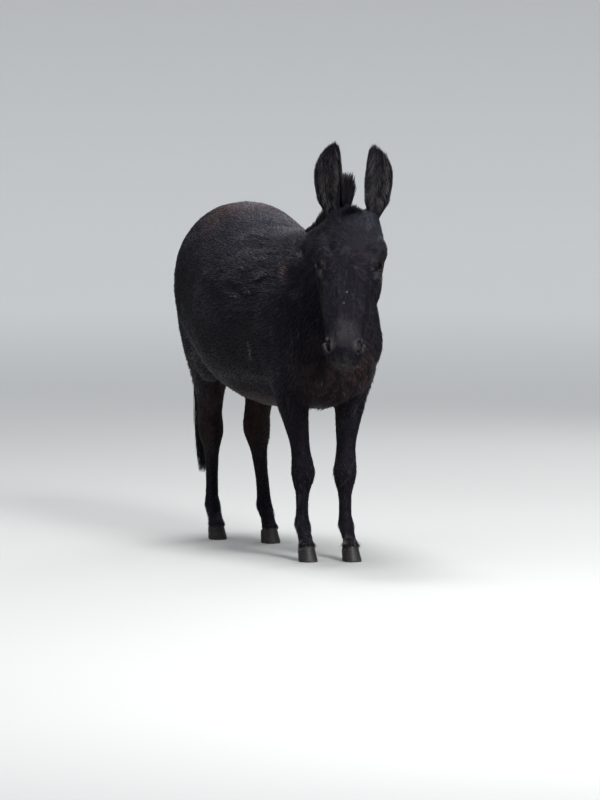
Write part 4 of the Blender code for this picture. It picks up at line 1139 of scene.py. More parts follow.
class HairTree:
    """A geometry tree with named inputs that turns a helper object into solid hair."""

    def __init__(self, name: str, inputs: tuple) -> None:
        """Makes the tree with its inputs.

        Args:
            name: the tree's name.
            inputs: each input's name, kind of socket and default, after the geometry.
        """
        self.tree = bpy.data.node_groups.new(name, "GeometryNodeTree")
        self.graph = Graph(self.tree)
        self.names = {}
        for title, kind, default in (("Geometry", "Geometry", None), *inputs, ("Finish", "Material", None)):
            made = self.tree.interface.new_socket(title, in_out="INPUT", socket_type=f"NodeSocket{kind}")
            if default is not None:
                made.default_value = default
            self.names[title] = made.identifier
        self.tree.interface.new_socket("Geometry", in_out="OUTPUT", socket_type="NodeSocketGeometry")
        self.start = self.graph.node("NodeGroupInput")

    def named(self, name: str, kind: str = "FLOAT") -> Value:
        """An attribute of the geometry."""
        return self.graph.node("GeometryNodeInputNamedAttribute", {"data_type": kind}, {"Name": name}, "Attribute")

    def stored(self, geometry: Value, name: str, value: Value, kind: str = "FLOAT", domain: str = "POINT") -> Value:
        """The geometry with a value kept as an attribute."""
        settings = {"data_type": kind, "domain": domain}
        inputs = {"Geometry": geometry, "Name": name, "Value": value}
        return self.graph.node("GeometryNodeStoreNamedAttribute", settings, inputs)

    def end(self, geometry: Value, offset: Value) -> None:
        """Makes the hair solid, gives it its unwrap and its finish, and closes the tree.

        Args:
            geometry: the hair.
            offset: each corner's place beside its root's place in the unwrap.
        """
        g = self.graph
        real = g.node("GeometryNodeRealizeInstances", {}, {"Geometry": geometry})
        spot = g.vector("ADD", self.named("unwrap", "FLOAT_VECTOR"), offset)
        mapped = self.stored(real, BAKE_MAP, spot, "FLOAT2", "CORNER")
        done = g.node("GeometryNodeSetMaterial", {}, {"Geometry": mapped, "Material": self.start.other("Finish")})
        g.node("NodeGroupOutput", {}, {"Geometry": done})

    def grown(self, name: str, helper: bpy.types.Object, values: dict) -> bpy.types.Object:
        """Runs the tree and returns the hair as one plain mesh object.

        Args:
            name: the new piece's name.
            helper: the object that the tree runs on, which is deleted.
            values: what each input gets, by the input's name.

        Returns:
            The new piece.
        """
        grower = helper.modifiers.new(self.tree.name, "NODES")
        grower.node_group = self.tree
        for key, value in values.items():
            grower[self.names[key]] = value
        bpy.context.view_layer.update()
        mesh = bpy.data.meshes.new_from_object(helper.evaluated_get(bpy.context.evaluated_depsgraph_get()))
        helper.modifiers.clear()
        removed(helper)
        for attribute in ("close", "lie", "outward", "length", "unwrap", "patch", "wisp", "radius", "turn"):
            if attribute in mesh.attributes:
                mesh.attributes.remove(mesh.attributes[attribute])
        mesh.name = name
        return shaded(linked(name, mesh))


class TuftTree(HairTree):
    """The tree that grows tufts over a surface, along its "lie", sized by its "length"."""

    def __init__(self) -> None:
        """Makes the tree."""
        super().__init__(
            "tufts",
            (
                ("Tufts per square metre", "Float", 30000.0),
                ("Least gap", "Float", 0.003),
                ("Width", "Float", 0.0028),
                ("Depth", "Float", 0.0009),
                ("Lift", "Float", 0.12),
                ("Unruly", "Float", 0.25),
                ("Uneven", "Float", 0.25),
                ("Shapes", "Collection", None),
                ("Seed", "Int", 1),
            ),
        )
        placed = self.placed()
        self.end(placed, self.graph.vector("MULTIPLY", self.named("patch", "FLOAT_VECTOR"), (PATCH, PATCH, PATCH)))

    def random(self, low: float, high: float, offset: int) -> Value:
        """A random number for each tuft."""
        inputs = {"Min": low, "Max": high, "Seed": self.graph.math("ADD", self.start.other("Seed"), float(offset))}
        return self.graph.node("FunctionNodeRandomValue", {"data_type": "FLOAT"}, inputs, "Value")

    def placed(self) -> Value:
        """The tufts as instances on points of the surface, each turned and sized."""
        g, start = self.graph, self.start
        points = g.node(
            "GeometryNodeDistributePointsOnFaces",
            {"distribute_method": "POISSON"},
            {
                "Mesh": start.other("Geometry"),
                "Distance Min": start.other("Least gap"),
                "Density Max": start.other("Tufts per square metre"),
                "Density Factor": self.named("close"),
                "Seed": start.other("Seed"),
            },
            "Points",
        )
        lie, outward = self.named("lie", "FLOAT_VECTOR"), self.named("outward", "FLOAT_VECTOR")
        axes = {"primary_axis": "Y", "secondary_axis": "Z"}
        turn = g.node("FunctionNodeAxesToRotation", axes, {"Primary Axis": lie, "Secondary Axis": outward})
        unruly, wisp = start.other("Unruly"), self.named("wisp")
        wander = self.random(-1.0, 1.0, 11) * unruly
        roll = self.random(-1.0, 1.0, 12) * unruly * 1.6
        lift = start.other("Lift") * (self.random(0.7, 1.5, 13) + wisp * 0.35)
        bent = g.node("ShaderNodeCombineXYZ", {}, {"X": lift, "Y": roll, "Z": wander})
        bent = g.node("FunctionNodeEulerToRotation", {}, {"Euler": bent})
        turn = g.node("FunctionNodeRotateRotation", {"rotation_space": "LOCAL"}, {"Rotation": turn, "Rotate By": bent})
        length = self.named("length") * (self.random(-1.0, 1.0, 14) * start.other("Uneven") + 0.97)
        slim = g.node("ShaderNodeClamp", {}, {"Value": self.named("length") / 0.0115, "Min": 0.55, "Max": 1.0})
        width = start.other("Width") * self.random(0.7, 1.3, 15) * slim
        size = g.node("ShaderNodeCombineXYZ", {}, {"X": width, "Y": length, "Z": start.other("Depth")})
        held = {"Collection": start.other("Shapes"), "Separate Children": True, "Reset Children": True}
        shapes = g.node("GeometryNodeCollectionInfo", {"transform_space": "ORIGINAL"}, held)
        picks = {"Min": 0, "Max": 11, "Seed": start.other("Seed")}
        pick = g.node("FunctionNodeRandomValue", {"data_type": "INT"}, picks, "Value")
        # Each tuft's tone, random plus its wisp, drives the painted sheen and painted shade of its colour.
        toned = self.stored(points, "tone", self.random(0.0, 1.0, 16) + wisp * 0.7)
        inputs = {"Points": toned, "Instance": shapes, "Pick Instance": True, "Instance Index": pick}
        return g.node("GeometryNodeInstanceOnPoints", {}, {**inputs, "Rotation": turn, "Scale": size})

    def grow(
        self, name: str, bed: bpy.types.Object, shapes: bpy.types.Collection, finish: bpy.types.Material, growth: Growth
    ) -> bpy.types.Object:
        """Grows tufts over a bed.

        Args:
            name: the new piece's name.
            bed: a mesh with the fields that bed_piece gives it.
            shapes: the collection of tuft shapes.
            finish: the tufts' material.
            growth: how they grow.

        Returns:
            The new piece.
        """
        sizes = {key.replace("_", " ").capitalize(): value for key, value in asdict(growth).items()}
        return self.grown(name, bed, {"Shapes": shapes, "Finish": finish, **sizes})


class StrandTree(HairTree):
    """The tree that makes tapered solid strands along lines."""

    def __init__(self) -> None:
        """Makes the tree."""
        super().__init__("strands", (("Sides", "Int", 3), ("Thickness", "Float", 1.0)))
        g, start = self.graph, self.start
        curve = g.node("GeometryNodeMeshToCurve", {}, {"Mesh": start.other("Geometry")})
        ring = g.node("GeometryNodeCurvePrimitiveCircle", {}, {"Resolution": start.other("Sides"), "Radius": 1.0})
        ring = self.stored(ring, "turn", g.node("GeometryNodeSplineParameter", output="Factor"))
        scale = self.named("radius") * start.other("Thickness")
        inputs = {"Curve": curve, "Profile Curve": ring, "Scale": scale, "Fill Caps": True}
        strands = g.node("GeometryNodeCurveToMesh", {}, inputs)
        run = g.node("ShaderNodeSeparateXYZ", {}, {"Vector": self.named("unwrap", "FLOAT_VECTOR")}, "Z")
        offset = g.node("ShaderNodeCombineXYZ", {}, {"X": self.named("turn") * PATCH, "Y": run * PATCH})
        self.end(strands, offset)

    def grow(self, name: str, lines: bpy.types.Object, finish: bpy.types.Material) -> bpy.types.Object:
        """Turns lines into strands."""
        return self.grown(name, lines, {"Finish": finish})


def bed_piece(points: np.ndarray, faces: list, **fields: np.ndarray) -> bpy.types.Object:
    """A surface for hair to grow on.

    Args:
        points: its points.
        faces: its faces.
        **fields: length and close, a number a point; lie and outward, a direction a point; unwrap,
            two numbers a face corner; and wisp, a number a point, where the hair gathers.

    Returns:
        The bed.
    """
    mesh = bpy.data.meshes.new("bed")
    mesh.from_pydata(np.asarray(points).tolist(), [], faces)
    for name, values in {"close": np.ones(len(points)), **fields}.items():
        values = np.asarray(values, np.float32)
        kind = "FLOAT2" if name == "unwrap" else "FLOAT_VECTOR" if values.ndim == 2 else "FLOAT"
        layer = mesh.attributes.new(name, kind, "CORNER" if name == "unwrap" else "POINT")
        layer.data.foreach_set("value" if kind == "FLOAT" else "vector", values.ravel())
    return linked("bed", mesh)


def in_map(places: np.ndarray) -> np.ndarray:
    """Places from 0 to 1, inside the unwrap's edges and with room for a patch."""
    return 0.01 + 0.975 * places


def corner_unwrap(angle: np.ndarray, run: np.ndarray, faces: np.ndarray) -> np.ndarray:
    """An unwrap round an axis, with each face whole at the seam.

    Args:
        angle: each point's angle round the axis, as a share of a turn.
        run: each point's place along the axis.
        faces: triangles of point indices.

    Returns:
        Two numbers for each face corner, filling 0.01 to 0.99.
    """
    u, v = angle[faces], run[faces]
    wrapped = (u.max(1) - u.min(1)) > 0.5
    u = np.where(wrapped[:, None] & (u < 0.5), u + 1, u)
    u = (u - u.min()) / max(u.max() - u.min(), 1e-6)
    v = (v - v.min()) / max(v.max() - v.min(), 1e-6)
    return in_map(np.stack([u, v], -1)).reshape(-1, 2)


# Finishes


@dataclass(frozen=True)
class Hide:
    """The colours of skin and short coat, with the mule's markings, painted sheen, painted shade and painted light at
    their places on the body.
    """

    # Painted reflection: black is tinted blue for the sky's reflection, and tint turns the coat's reflections blue as
    # well.
    black: tuple = (0.0038, 0.0034, 0.0074, 1)
    brown: tuple = (0.0165, 0.0098, 0.0092, 1)
    rust: tuple = (0.0600, 0.0315, 0.0245, 1)
    # Painted sheen: the pale colour of highlit wisps.
    sheen: tuple = (0.0330, 0.0280, 0.0340, 1)
    grey: tuple = (0.0700, 0.0620, 0.0600, 1)
    pale: tuple = (0.1700, 0.1650, 0.1800, 1)
    # Near black: dark skin, and painted shade between the tufts, in the wisps' hollows and in the nostrils' slits.
    soot: tuple = (0.0018, 0.0015, 0.0020, 1)
    tint: tuple = (0.78, 0.80, 1.00, 1)
    gloss: float = 0.27
    # place in the drawn frame, inner and outer reach, scale along each axis, share
    rusty: tuple = (
        ((-0.05, 0.30, 1.05), 0.02, 0.20, (1.0, 1.0, 1.6), 0.85),
        ((0.0, -0.02, 0.47), 0.04, 0.28, (1.0, 0.7, 1.6), 1.0),
        ((0.0, 0.24, 0.50), 0.04, 0.20, (1.2, 1.0, 0.9), 1.0),
        ((0.0, -0.42, 0.60), 0.04, 0.19, (1.0, 1.0, 1.0), 0.95),
        # These two spots are painted light: the hind legs, in the body's shadow, are lit up with rust brown.
        ((0.06, 0.30, 0.40), 0.03, 0.17, (1.0, 0.8, 0.8), 0.80),
        ((-0.06, 0.44, 0.40), 0.03, 0.17, (1.0, 0.8, 0.8), 0.60),
        ((-0.16, -0.350, 0.90), 0.004, 0.050, (0.3, 1.9, 0.35), 0.70),
        ((0.16, -0.350, 0.90), 0.004, 0.050, (0.3, 1.9, 0.35), 0.70),
        ((-0.20, -0.330, 0.71), 0.004, 0.045, (0.3, 2.0, 0.45), 0.60),
        ((0.20, -0.330, 0.71), 0.004, 0.045, (0.3, 2.0, 0.45), 0.60),
    )
    # places on the head along the nostril, whose slit gets painted shade, and the specks on the face with their sizes
    nostril: tuple = (
        (0.414, -0.022, 0.0565), (0.424, -0.027, 0.0515), (0.434, -0.033, 0.0475), (0.444, -0.040, 0.0440),
    )
    specks: tuple = (
        (0.2716, -0.0037, 0.0009, 0.0048), (0.3057, -0.0066, -0.0060, 0.0036), (0.196, 0.004, 0.022, 0.0030),
    )

    def colour(self, g: Graph, place: Value) -> Value:
        """The base colour with its markings, painted light and painted shade, from Object coordinates."""
        drift = g.noise(place, 5.0, 4.0)
        mottle = g.noise(place, 38.0, 3.0)
        streak = g.noise(place, 1.0, 2.0, (150.0, 34.0, 90.0))
        base = g.mix(g.step(drift, 0.42, 0.70) * 0.45, self.black, self.brown)
        base = g.mix(g.step(streak, 0.50, 0.75) * 0.30, base, self.brown)
        base = g.mix(g.step(mottle, 0.55, 0.80) * 0.22, base, self.rust)
        patchy = g.step(mottle, 0.25, 0.6)
        # Rust brown patches, and painted light on the hind legs.
        for point, inner, outer, by, share in self.rusty:
            base = Spot(drawn_place(point), inner, outer, share, by).on(g, place, base, self.rust, patchy)
        # Painted light: the left breast, which faces the light, is lighter grey.
        breast = g.step(mottle, 0.30, 0.62)
        base = Spot(drawn_place((0.07, -0.376, 0.54)), 0.015, 0.080, 0.55).on(g, place, base, self.grey, breast)
        for side in Side:
            rim = HEAD.point(NOSTRIL, -0.026, side.value * 0.050)
            base = Spot(rim, 0.016, 0.032, 0.75).on(g, place, base, self.grey)
            # Painted shade: the nostrils' slits are darkened to near black.
            for a, out, aside in self.nostril:
                base = Spot(HEAD.point(a, out, side.value * aside), 0.0035, 0.0085).on(g, place, base, self.soot)
            eye, along = HEAD.eye(side)[0], HEAD.axes()[0]
            base = Spot(eye, 0.0260, 0.0360, 0.30).on(g, place, base, self.grey)
            base = Spot(eye, 0.0205, 0.0235).on(g, place, base, self.soot)
            base = Spot(eye + along * 0.030, 0.006, 0.020, 0.85).on(g, place, base, self.grey)
            base = Spot(eye - along * 0.028, 0.004, 0.014, 0.35).on(g, place, base, self.grey)
            ahead, outward, up = Ear(side).axes()
            cup = Ear(side).foot() + up * 0.09 + outward * 0.004 - ahead * 0.008
            base = Spot(cup, 0.008, 0.050, 0.30, (1.6, 1.0, 0.5)).on(g, place, base, self.grey)
        base = Spot(HEAD.point(0.390, -0.010, 0.0), 0.010, 0.060, 0.42).on(g, place, base, self.grey)
        # Lips and chin: partly pale hair, partly painted light that lifts the lips' downward-facing shaded side.
        base = Spot(HEAD.point(0.472, -0.070, 0.0), 0.020, 0.052, 0.72).on(g, place, base, self.grey)
        return Spot(HEAD.point(0.470, -0.100, 0.0), 0.010, 0.040, 0.55).on(g, place, base, self.pale)

    def marks(self, g: Graph, place: Value, base: Value) -> Value:
        """The colour with the pale scratch on the ribs and the specks on face and neck.

        Args:
            g: the graph.
            place: Object coordinates.
            base: the colour under the marks.

        Returns:
            The colour with its marks.
        """
        ragged = g.step(g.noise(place, 1.0, 2.0, (260.0, 190.0, 60.0)), 0.40, 0.56)
        scratch = Spot(drawn_place((-0.185, -0.201, 0.636)), 0.002, 0.0085, 1.0, (0.2, 1.0, 0.20))
        base = scratch.on(g, place, base, self.pale, ragged)
        base = Spot(drawn_place((-0.137, -0.345, 0.863)), 0.002, 0.009, 0.6).on(g, place, base, self.pale)
        for a, o, s, size in self.specks:
            base = Spot(HEAD.point(a, o, s), 0.001, size).on(g, place, base, self.pale, ragged * 0.4 + 0.4)
        return base

    def toned(self, g: Graph, place: Value) -> Value:
        """The colour, lighter or darker by the "tone" of each wisp: painted sheen on high tones, painted shade on low
        ones.
        """
        tone = g.tone()
        # Painted sheen: high tones, on raised wisps and the withers' lines, turn pale.
        colour = g.mix(g.step(tone, 0.65, 1.55) * 0.70, self.colour(g, place), self.sheen)
        # Painted shade: low tones, in the hollows between wisps, turn near black.
        return self.marks(g, place, g.mix(g.step(tone, 0.55, -0.30) * 0.95, colour, self.soot))

    def skin(self) -> bpy.types.Material:
        """Skin under the coat, darkened by painted shade, with the short hair that lies flat as fine streaks."""
        material, g, shader = new_material("hide_skin", 0.6, self.gloss * 0.45, self.tint)
        place = g.place()
        # Painted shade: the skin is darkened halfway to near black so the gaps between tufts read as shadow.
        link(g, shader, "Base Color", g.mix(0.50, self.toned(g, place), self.soot))
        fine = g.noise(place, 1.0, 3.0, (900.0, 190.0, 420.0))
        pores = g.noise(place, 520.0, 2.0)
        link(g, shader, "Roughness", 0.52 + fine * 0.22)
        link(g, shader, "Normal", g.bump(fine * 0.8 + pores * 0.4, 0.55, 0.0012))
        return material

    def tufts(self) -> bpy.types.Material:
        """The same colours on the tufts, each a little lighter or darker, with painted sheen and painted shade by tone.
        """
        material, g, shader = new_material("hide_tufts", 0.5, self.gloss, self.tint)
        place = g.place()
        link(g, shader, "Base Color", self.toned(g, place))
        fine = g.noise(place, 700.0, 2.0)
        tone = g.tone()
        link(g, shader, "Roughness", 0.58 - tone * 0.14 + fine * 0.08)
        link(g, shader, "Normal", g.bump(fine, 0.35, 0.0006))
        return material


@dataclass(frozen=True)
class LongHair:
    """Mane, tail or ear hair: a root and a tip colour mixed by tone and noise."""

    name: str
    dark: tuple
    light: tuple
    roughness: float = 0.36
    gloss: float = 0.25

    def build(self) -> bpy.types.Material:
        """The material."""
        material, g, shader = new_material(self.name, self.roughness, self.gloss)
        place = g.place()
        tone = g.tone()
        drift = g.noise(place, 26.0, 3.0)
        strand = g.noise(place, 1.0, 2.0, (700.0, 700.0, 60.0))
        colour = g.mix(g.step(tone * 0.6 + drift * 0.6, 0.40, 1.00), self.dark, self.light)
        link(g, shader, "Base Color", g.mix(strand * 0.4, colour, self.dark))
        link(g, shader, "Roughness", self.roughness + strand * 0.18)
        link(g, shader, "Normal", g.bump(strand, 0.4, 0.0006))
        return material


@dataclass(frozen=True)
class Horn:
    """Hoof horn: slate grey with growth rings, fine upright fibres and a scuffed lower edge."""

    dark: tuple = (0.0065, 0.0060, 0.0068, 1)
    light: tuple = (0.0270, 0.0240, 0.0230, 1)
    scuffed: tuple = (0.0850, 0.0760, 0.0650, 1)

    def build(self) -> bpy.types.Material:
        """The material."""
        material, g, shader = new_material("horn", 0.5, 0.25)
        place = g.place()
        height = g.node("ShaderNodeSeparateXYZ", {}, {"Vector": place}, "Z")
        wander = g.noise(place, 24.0, 3.0)
        rings = g.math("SINE", (height + wander * 0.006) * 900.0, 0.0) * 0.5 + 0.5
        fibres = g.noise(place, 1.0, 3.0, (420.0, 420.0, 22.0))
        colour = g.mix(fibres * 0.55, self.dark, self.light)
        colour = g.mix(rings * 0.25, colour, self.dark)
        scuff = g.step(height + wander * 0.012, 0.016, 0.004) * g.step(fibres, 0.35, 0.7)
        colour = g.mix(scuff * 0.8, colour, self.scuffed)
        skirt = g.step(height + wander * 0.01, 0.040, 0.050)
        link(g, shader, "Base Color", g.mix(skirt * 0.6, colour, self.light))
        link(g, shader, "Roughness", 0.46 + scuff * 0.30 + fibres * 0.14)
        relief = rings * 0.7 + fibres * 0.5
        link(g, shader, "Normal", g.bump(relief, 0.5, 0.0010))
        return material


@dataclass(frozen=True)
class EyeFinish:
    """A dark wet eye: brown iris with fine spokes, a level oval pupil, dark white round it."""

    side: Side
    iris: tuple = (0.0030, 0.0015, 0.0010, 1)
    ring: tuple = (0.0012, 0.0009, 0.0009, 1)
    spoke: tuple = (0.0090, 0.0044, 0.0022, 1)
    pupil: tuple = (0.0004, 0.0004, 0.0007, 1)
    rim: tuple = (0.0040, 0.0030, 0.0028, 1)

    def build(self) -> bpy.types.Material:
        """The material, drawn about the eye's own look."""
        material, g, shader = new_material(f"eye_{self.side.word}", 0.05, 0.10)
        shader.inputs["Coat Roughness"].default_value = 0.02
        shader.inputs["IOR"].default_value = 1.40
        place = g.place()
        centre, _, corner, across = HEAD.eye(self.side)
        away = g.vector("SUBTRACT", place, tuple(centre))

        def part(axis: Vector) -> Value:
            """The place along one axis of the eye."""
            return g.vector("DOT_PRODUCT", away, tuple(axis), "Value")

        x, y = part(corner), part(across)
        round_way = (x * x + y * y) ** 0.5
        level = ((x / 0.0062) ** 2.0 + (y / 0.0036) ** 2.0) ** 0.5
        spokes = g.noise(away, 1.0, 3.0, (900.0, 900.0, 900.0))
        colour = g.mix(g.step(spokes, 0.45, 0.75) * 0.5, self.iris, self.spoke)
        colour = g.mix(g.step(round_way, 0.0110, 0.0128), colour, self.ring)
        colour = g.mix(g.step(round_way, 0.0132, 0.0150), colour, self.rim)
        link(g, shader, "Base Color", g.mix(g.step(level, 1.12, 0.92), colour, self.pupil))
        link(g, shader, "Coat Weight", 0.07 - 0.03 * g.step(round_way, 0.013, 0.016))
        return material


@dataclass(frozen=True)
class Rubbery:
    """Bare dark skin, on the lids' edges."""

    name: str
    colour: tuple = (0.0060, 0.0052, 0.0060, 1)
    worn: tuple = (0.0220, 0.0190, 0.0200, 1)
    roughness: float = 0.30
    grain: float = 900.0

    def build(self) -> bpy.types.Material:
        """The material."""
        material, g, shader = new_material(self.name, self.roughness, 0.22)
        place = g.place()
        fine = g.noise(place, self.grain, 3.0)
        link(g, shader, "Base Color", g.mix(g.step(fine, 0.45, 0.75) * 0.6, self.colour, self.worn))
        link(g, shader, "Roughness", self.roughness + fine * 0.2)
        link(g, shader, "Normal", g.bump(fine, 0.5, 0.0006))
        return material


def new_material(
    name: str, roughness: float, gloss: float = 0.5, tint: tuple = (1.0, 1.0, 1.0, 1.0)
) -> tuple[bpy.types.Material, Graph, bpy.types.Node]:
    """Makes a material.

    Args:
        name: the material's name.
        roughness: the surface's roughness where nothing else is linked.
        gloss: how much it mirrors, where 0.5 is plain varnish.
        tint: the colour of what it mirrors.

    Returns:
        The material, its graph and its surface shader.
    """
    material = bpy.data.materials.new(name)
    material.use_nodes = True
    shader = next(n for n in material.node_tree.nodes if n.type == "BSDF_PRINCIPLED")
    shader.inputs["Roughness"].default_value = roughness
    shader.inputs["Specular IOR Level"].default_value = gloss
    shader.inputs["Specular Tint"].default_value = tint
    return material, Graph(material.node_tree), shader


def link(g: Graph, shader: bpy.types.Node, name: str, value: Value) -> None:
    """Feeds one of a shader's sockets."""
    g.tree.links.new(value.socket, shader.inputs[name])


# The short coat


@dataclass(frozen=True)
class CoatPiece:
    """One piece of the short coat: the part of the skin that it covers, and its tufts."""

    name: str
    per_square_metre: float
    width: float
    depth: float
    lift: float = 0.16


@dataclass
class Coat:
    """The short coat, in pieces that each stay under the limit on faces."""

    skin: bpy.types.Object
    tree: TuftTree
    shapes: bpy.types.Collection
    finish: bpy.types.Material
    unruly: float = 0.20
    gap_share: float = 0.55
    pieces: tuple = (
        CoatPiece("coat_face_left", 160_000, 0.0013, 0.0005, 0.09),
        CoatPiece("coat_face_right", 148_000, 0.0013, 0.0005, 0.09),
        CoatPiece("coat_ears", 125_000, 0.0014, 0.0005, 0.10),
        CoatPiece("coat_neck", 72_000, 0.0023, 0.0008),
        CoatPiece("coat_fore_left", 48_500, 0.0026, 0.0008),
        CoatPiece("coat_fore_right", 48_500, 0.0026, 0.0008),
        CoatPiece("coat_rear_left", 48_500, 0.0026, 0.0008),
        CoatPiece("coat_rear_right", 48_500, 0.0026, 0.0008),
        CoatPiece("coat_forelegs", 102_000, 0.0016, 0.0006, 0.10),
        CoatPiece("coat_hindlegs", 98_000, 0.0016, 0.0006, 0.10),
    )

    @staticmethod
    def along_neck(drawn: np.ndarray) -> np.ndarray:
        """How far along the neck each point of the drawn frame lies, from the neck's foot."""
        return (drawn - np.array((0.0, -0.375, 0.83))) @ unit(np.array((0.0, -0.81, 0.58)))

    def regions(self, middles: np.ndarray) -> np.ndarray:
        """Which piece of the coat covers each face.

        Args:
            middles: the faces' middles.

        Returns:
            An index into the pieces for each face.
        """
        drawn = middles - np.array(SHIFT)
        x, y, z = drawn.T
        s = HEAD.inside(middles)[:, 2]
        head = HEAD.share(middles) > 0.5
        ears = np.zeros(len(middles), bool)
        for side in Side:
            height, off = Ear(side).reach(middles)
            ears |= (height > 0.012) & (off < 0.058)
        region = np.where(y < 0.10, np.where(x > 0, 4, 5), np.where(x > 0, 6, 7))
        region = np.where(z < 0.455, np.where(y < 0.0, 8, 9), region)
        neck = self.along_neck(drawn) > 0
        region = np.where(neck & (z > 0.66), 3, region)
        region = np.where(head, np.where(s > 0, 0, 1), region)
        return np.where(ears, 2, region)

    def unwrapped(self, index: int, points: np.ndarray, faces: np.ndarray) -> np.ndarray:
        """The unwrap of one region by turn and height, a shape for each kind of region.

        Args:
            index: the region's piece.
            points: the region's points.
            faces: its triangles.

        Returns:
            Two numbers for each face corner.
        """
        drawn = points - np.array(SHIFT)
        x, y, z = drawn.T
        a, o, s = HEAD.inside(points).T
        turn = 2 * math.pi
        if index in (0, 1):
            return corner_unwrap(np.arctan2(np.abs(s), o + 0.07) / turn, a, faces)
        if index == 2:
            angle = np.zeros(len(points))
            run = np.zeros(len(points))
            for side in Side:
                ear = Ear(side)
                ahead, outward, up = (np.array(v) for v in ear.axes())
                away = points - np.array(ear.foot())
                mine = (side.value * s) > 0
                round_ear = (np.arctan2(away @ outward, away @ ahead + 0.012) / turn + 0.5) * 0.46
                angle = np.where(mine, round_ear + (0.0 if side is Side.LEFT else 0.5), angle)
                run = np.where(mine, away @ up, run)
            return corner_unwrap(angle, run, faces)
        if index == 3:
            angle = np.arctan2(x, z - 0.86 - 0.5 * (-0.375 - y)) / turn + 0.5
            return corner_unwrap(angle, self.along_neck(drawn), faces)
        if index in (4, 5, 6, 7):
            return corner_unwrap(np.arctan2(np.abs(x), z - 0.72) / turn, y, faces)
        angle, run = np.zeros(len(points)), z
        feet = Lie.pasterns()[:2] if index == 8 else Lie.pasterns()[2:]
        for k, (fx, fy) in enumerate(feet):
            mine = (x > 0) == (fx > 0)
            angle = np.where(mine, (np.arctan2(x - fx, y - fy - 0.02) / turn + 0.5) * 0.46 + 0.5 * k, angle)
        return corner_unwrap(angle, run, faces)

    def build(self) -> None:
        """Grows each piece of the coat."""
        mesh = self.skin.data
        points, normals = points_of(mesh), normals_of(mesh)
        triangles = triangles_of(mesh)
        lie = Lie(points, normals, edges_of(mesh))
        ways, lengths, close = lie.directions(), lie.lengths(), lie.closeness()
        wisps = lie.wisps(ways)
        set_points(mesh, points + normals * (wisps * 0.0009 * close * (1 - 0.6 * HEAD.share(points)))[:, None])
        points = points_of(mesh)
        # The skin's tone follows the wisps and drives the painted sheen and painted shade of its colour.
        tone = mesh.attributes.new("tone", "FLOAT", "POINT")
        tone.data.foreach_set("value", (0.5 + 0.6 * wisps).astype(np.float32))
        regions = self.regions(points[triangles].mean(1))
        for index, piece in enumerate(self.pieces):
            used, flat = np.unique(triangles[regions == index], return_inverse=True)
            faces = flat.reshape(-1, 3)
            unwrap = self.unwrapped(index, points[used], faces)
            fields = {"close": close[used], "length": lengths[used], "wisp": wisps[used], "lie": ways[used]}
            bed = bed_piece(points[used], faces.tolist(), outward=normals[used], unwrap=unwrap, **fields)
            gap = self.gap_share / math.sqrt(piece.per_square_metre)
            growth = Growth(piece.per_square_metre, gap, piece.width, piece.depth, piece.lift, self.unruly, index + 3)
            ready(self.tree.grow(piece.name, bed, self.shapes, self.finish, growth), Slot.COAT)


# Long hair


@dataclass
class Mane:
    """The short upright mane on the crest, and the tuft between the ears."""

    skin: bpy.types.Object
    # place along the body, height
    heights: tuple = (
        (-0.622, 0.105), (-0.585, 0.100), (-0.500, 0.076), (-0.400, 0.060),
        (-0.300, 0.038), (-0.245, 0.018), (-0.236, 0.012),
    )
    half_width: float = 0.0150

    def crest(self, y: float, aside: float) -> Vector:
        """A point on the skin along the crest, found from above.

        Args:
            y: its place along the body in the drawn frame.
            aside: how far it lies to the left of the crest.

        Returns:
            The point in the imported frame.
        """
        drawn_x = float(np.interp(y, (-0.66, -0.56, -0.45, -0.30), (-0.040, -0.022, -0.006, 0.0)))
        best = None
        for off in np.linspace(-0.02, 0.02, 9):
            start = Vector((drawn_x + off, y, 2.0)) + SHIFT
            hit, where, _, _ = self.skin.ray_cast(start, Vector((0, 0, -1)))
            if hit and (best is None or where.z > best.z) and where.z < 1.12:
                best = where
        top = Vector((best.x + aside, best.y, 2.0))
        hit, where, _, _ = self.skin.ray_cast(top, Vector((0, 0, -1)))
        return where if hit and where.z < 1.12 and best.z - where.z < 0.02 else best

    def bed(self) -> bpy.types.Object:
        """The strip of crest that the mane stands on."""
        places, across = np.linspace(-0.624, -0.238, 60), np.linspace(-1, 1, 5)
        points, lie, length, outward = [], [], [], []
        heights = along_rows(self.heights, places)[:, 0]
        for y, height in zip(places, heights):
            between = float(eased(-0.56, -0.60, np.array(y)))
            for side in across:
                aside = side * self.half_width * (0.6 + 0.4 * height / 0.09)
                points.append(self.crest(float(y), float(aside)) - Vector((0, 0, 0.004)))
                lean = 0.24 * side * (1 - 0.4 * between)
                lie.append(Vector((lean, 0.05 - 0.20 * between, 1.0)).normalized())
                outward.append(Vector((side + 0.01, 0.3, 0)).normalized())
                length.append(height * (1.06 - 0.34 * side * side))
        faces, corners = grid(len(places), len(across))
        return bed_piece(points, faces, length=length, lie=lie, outward=outward, unwrap=in_map(corners))


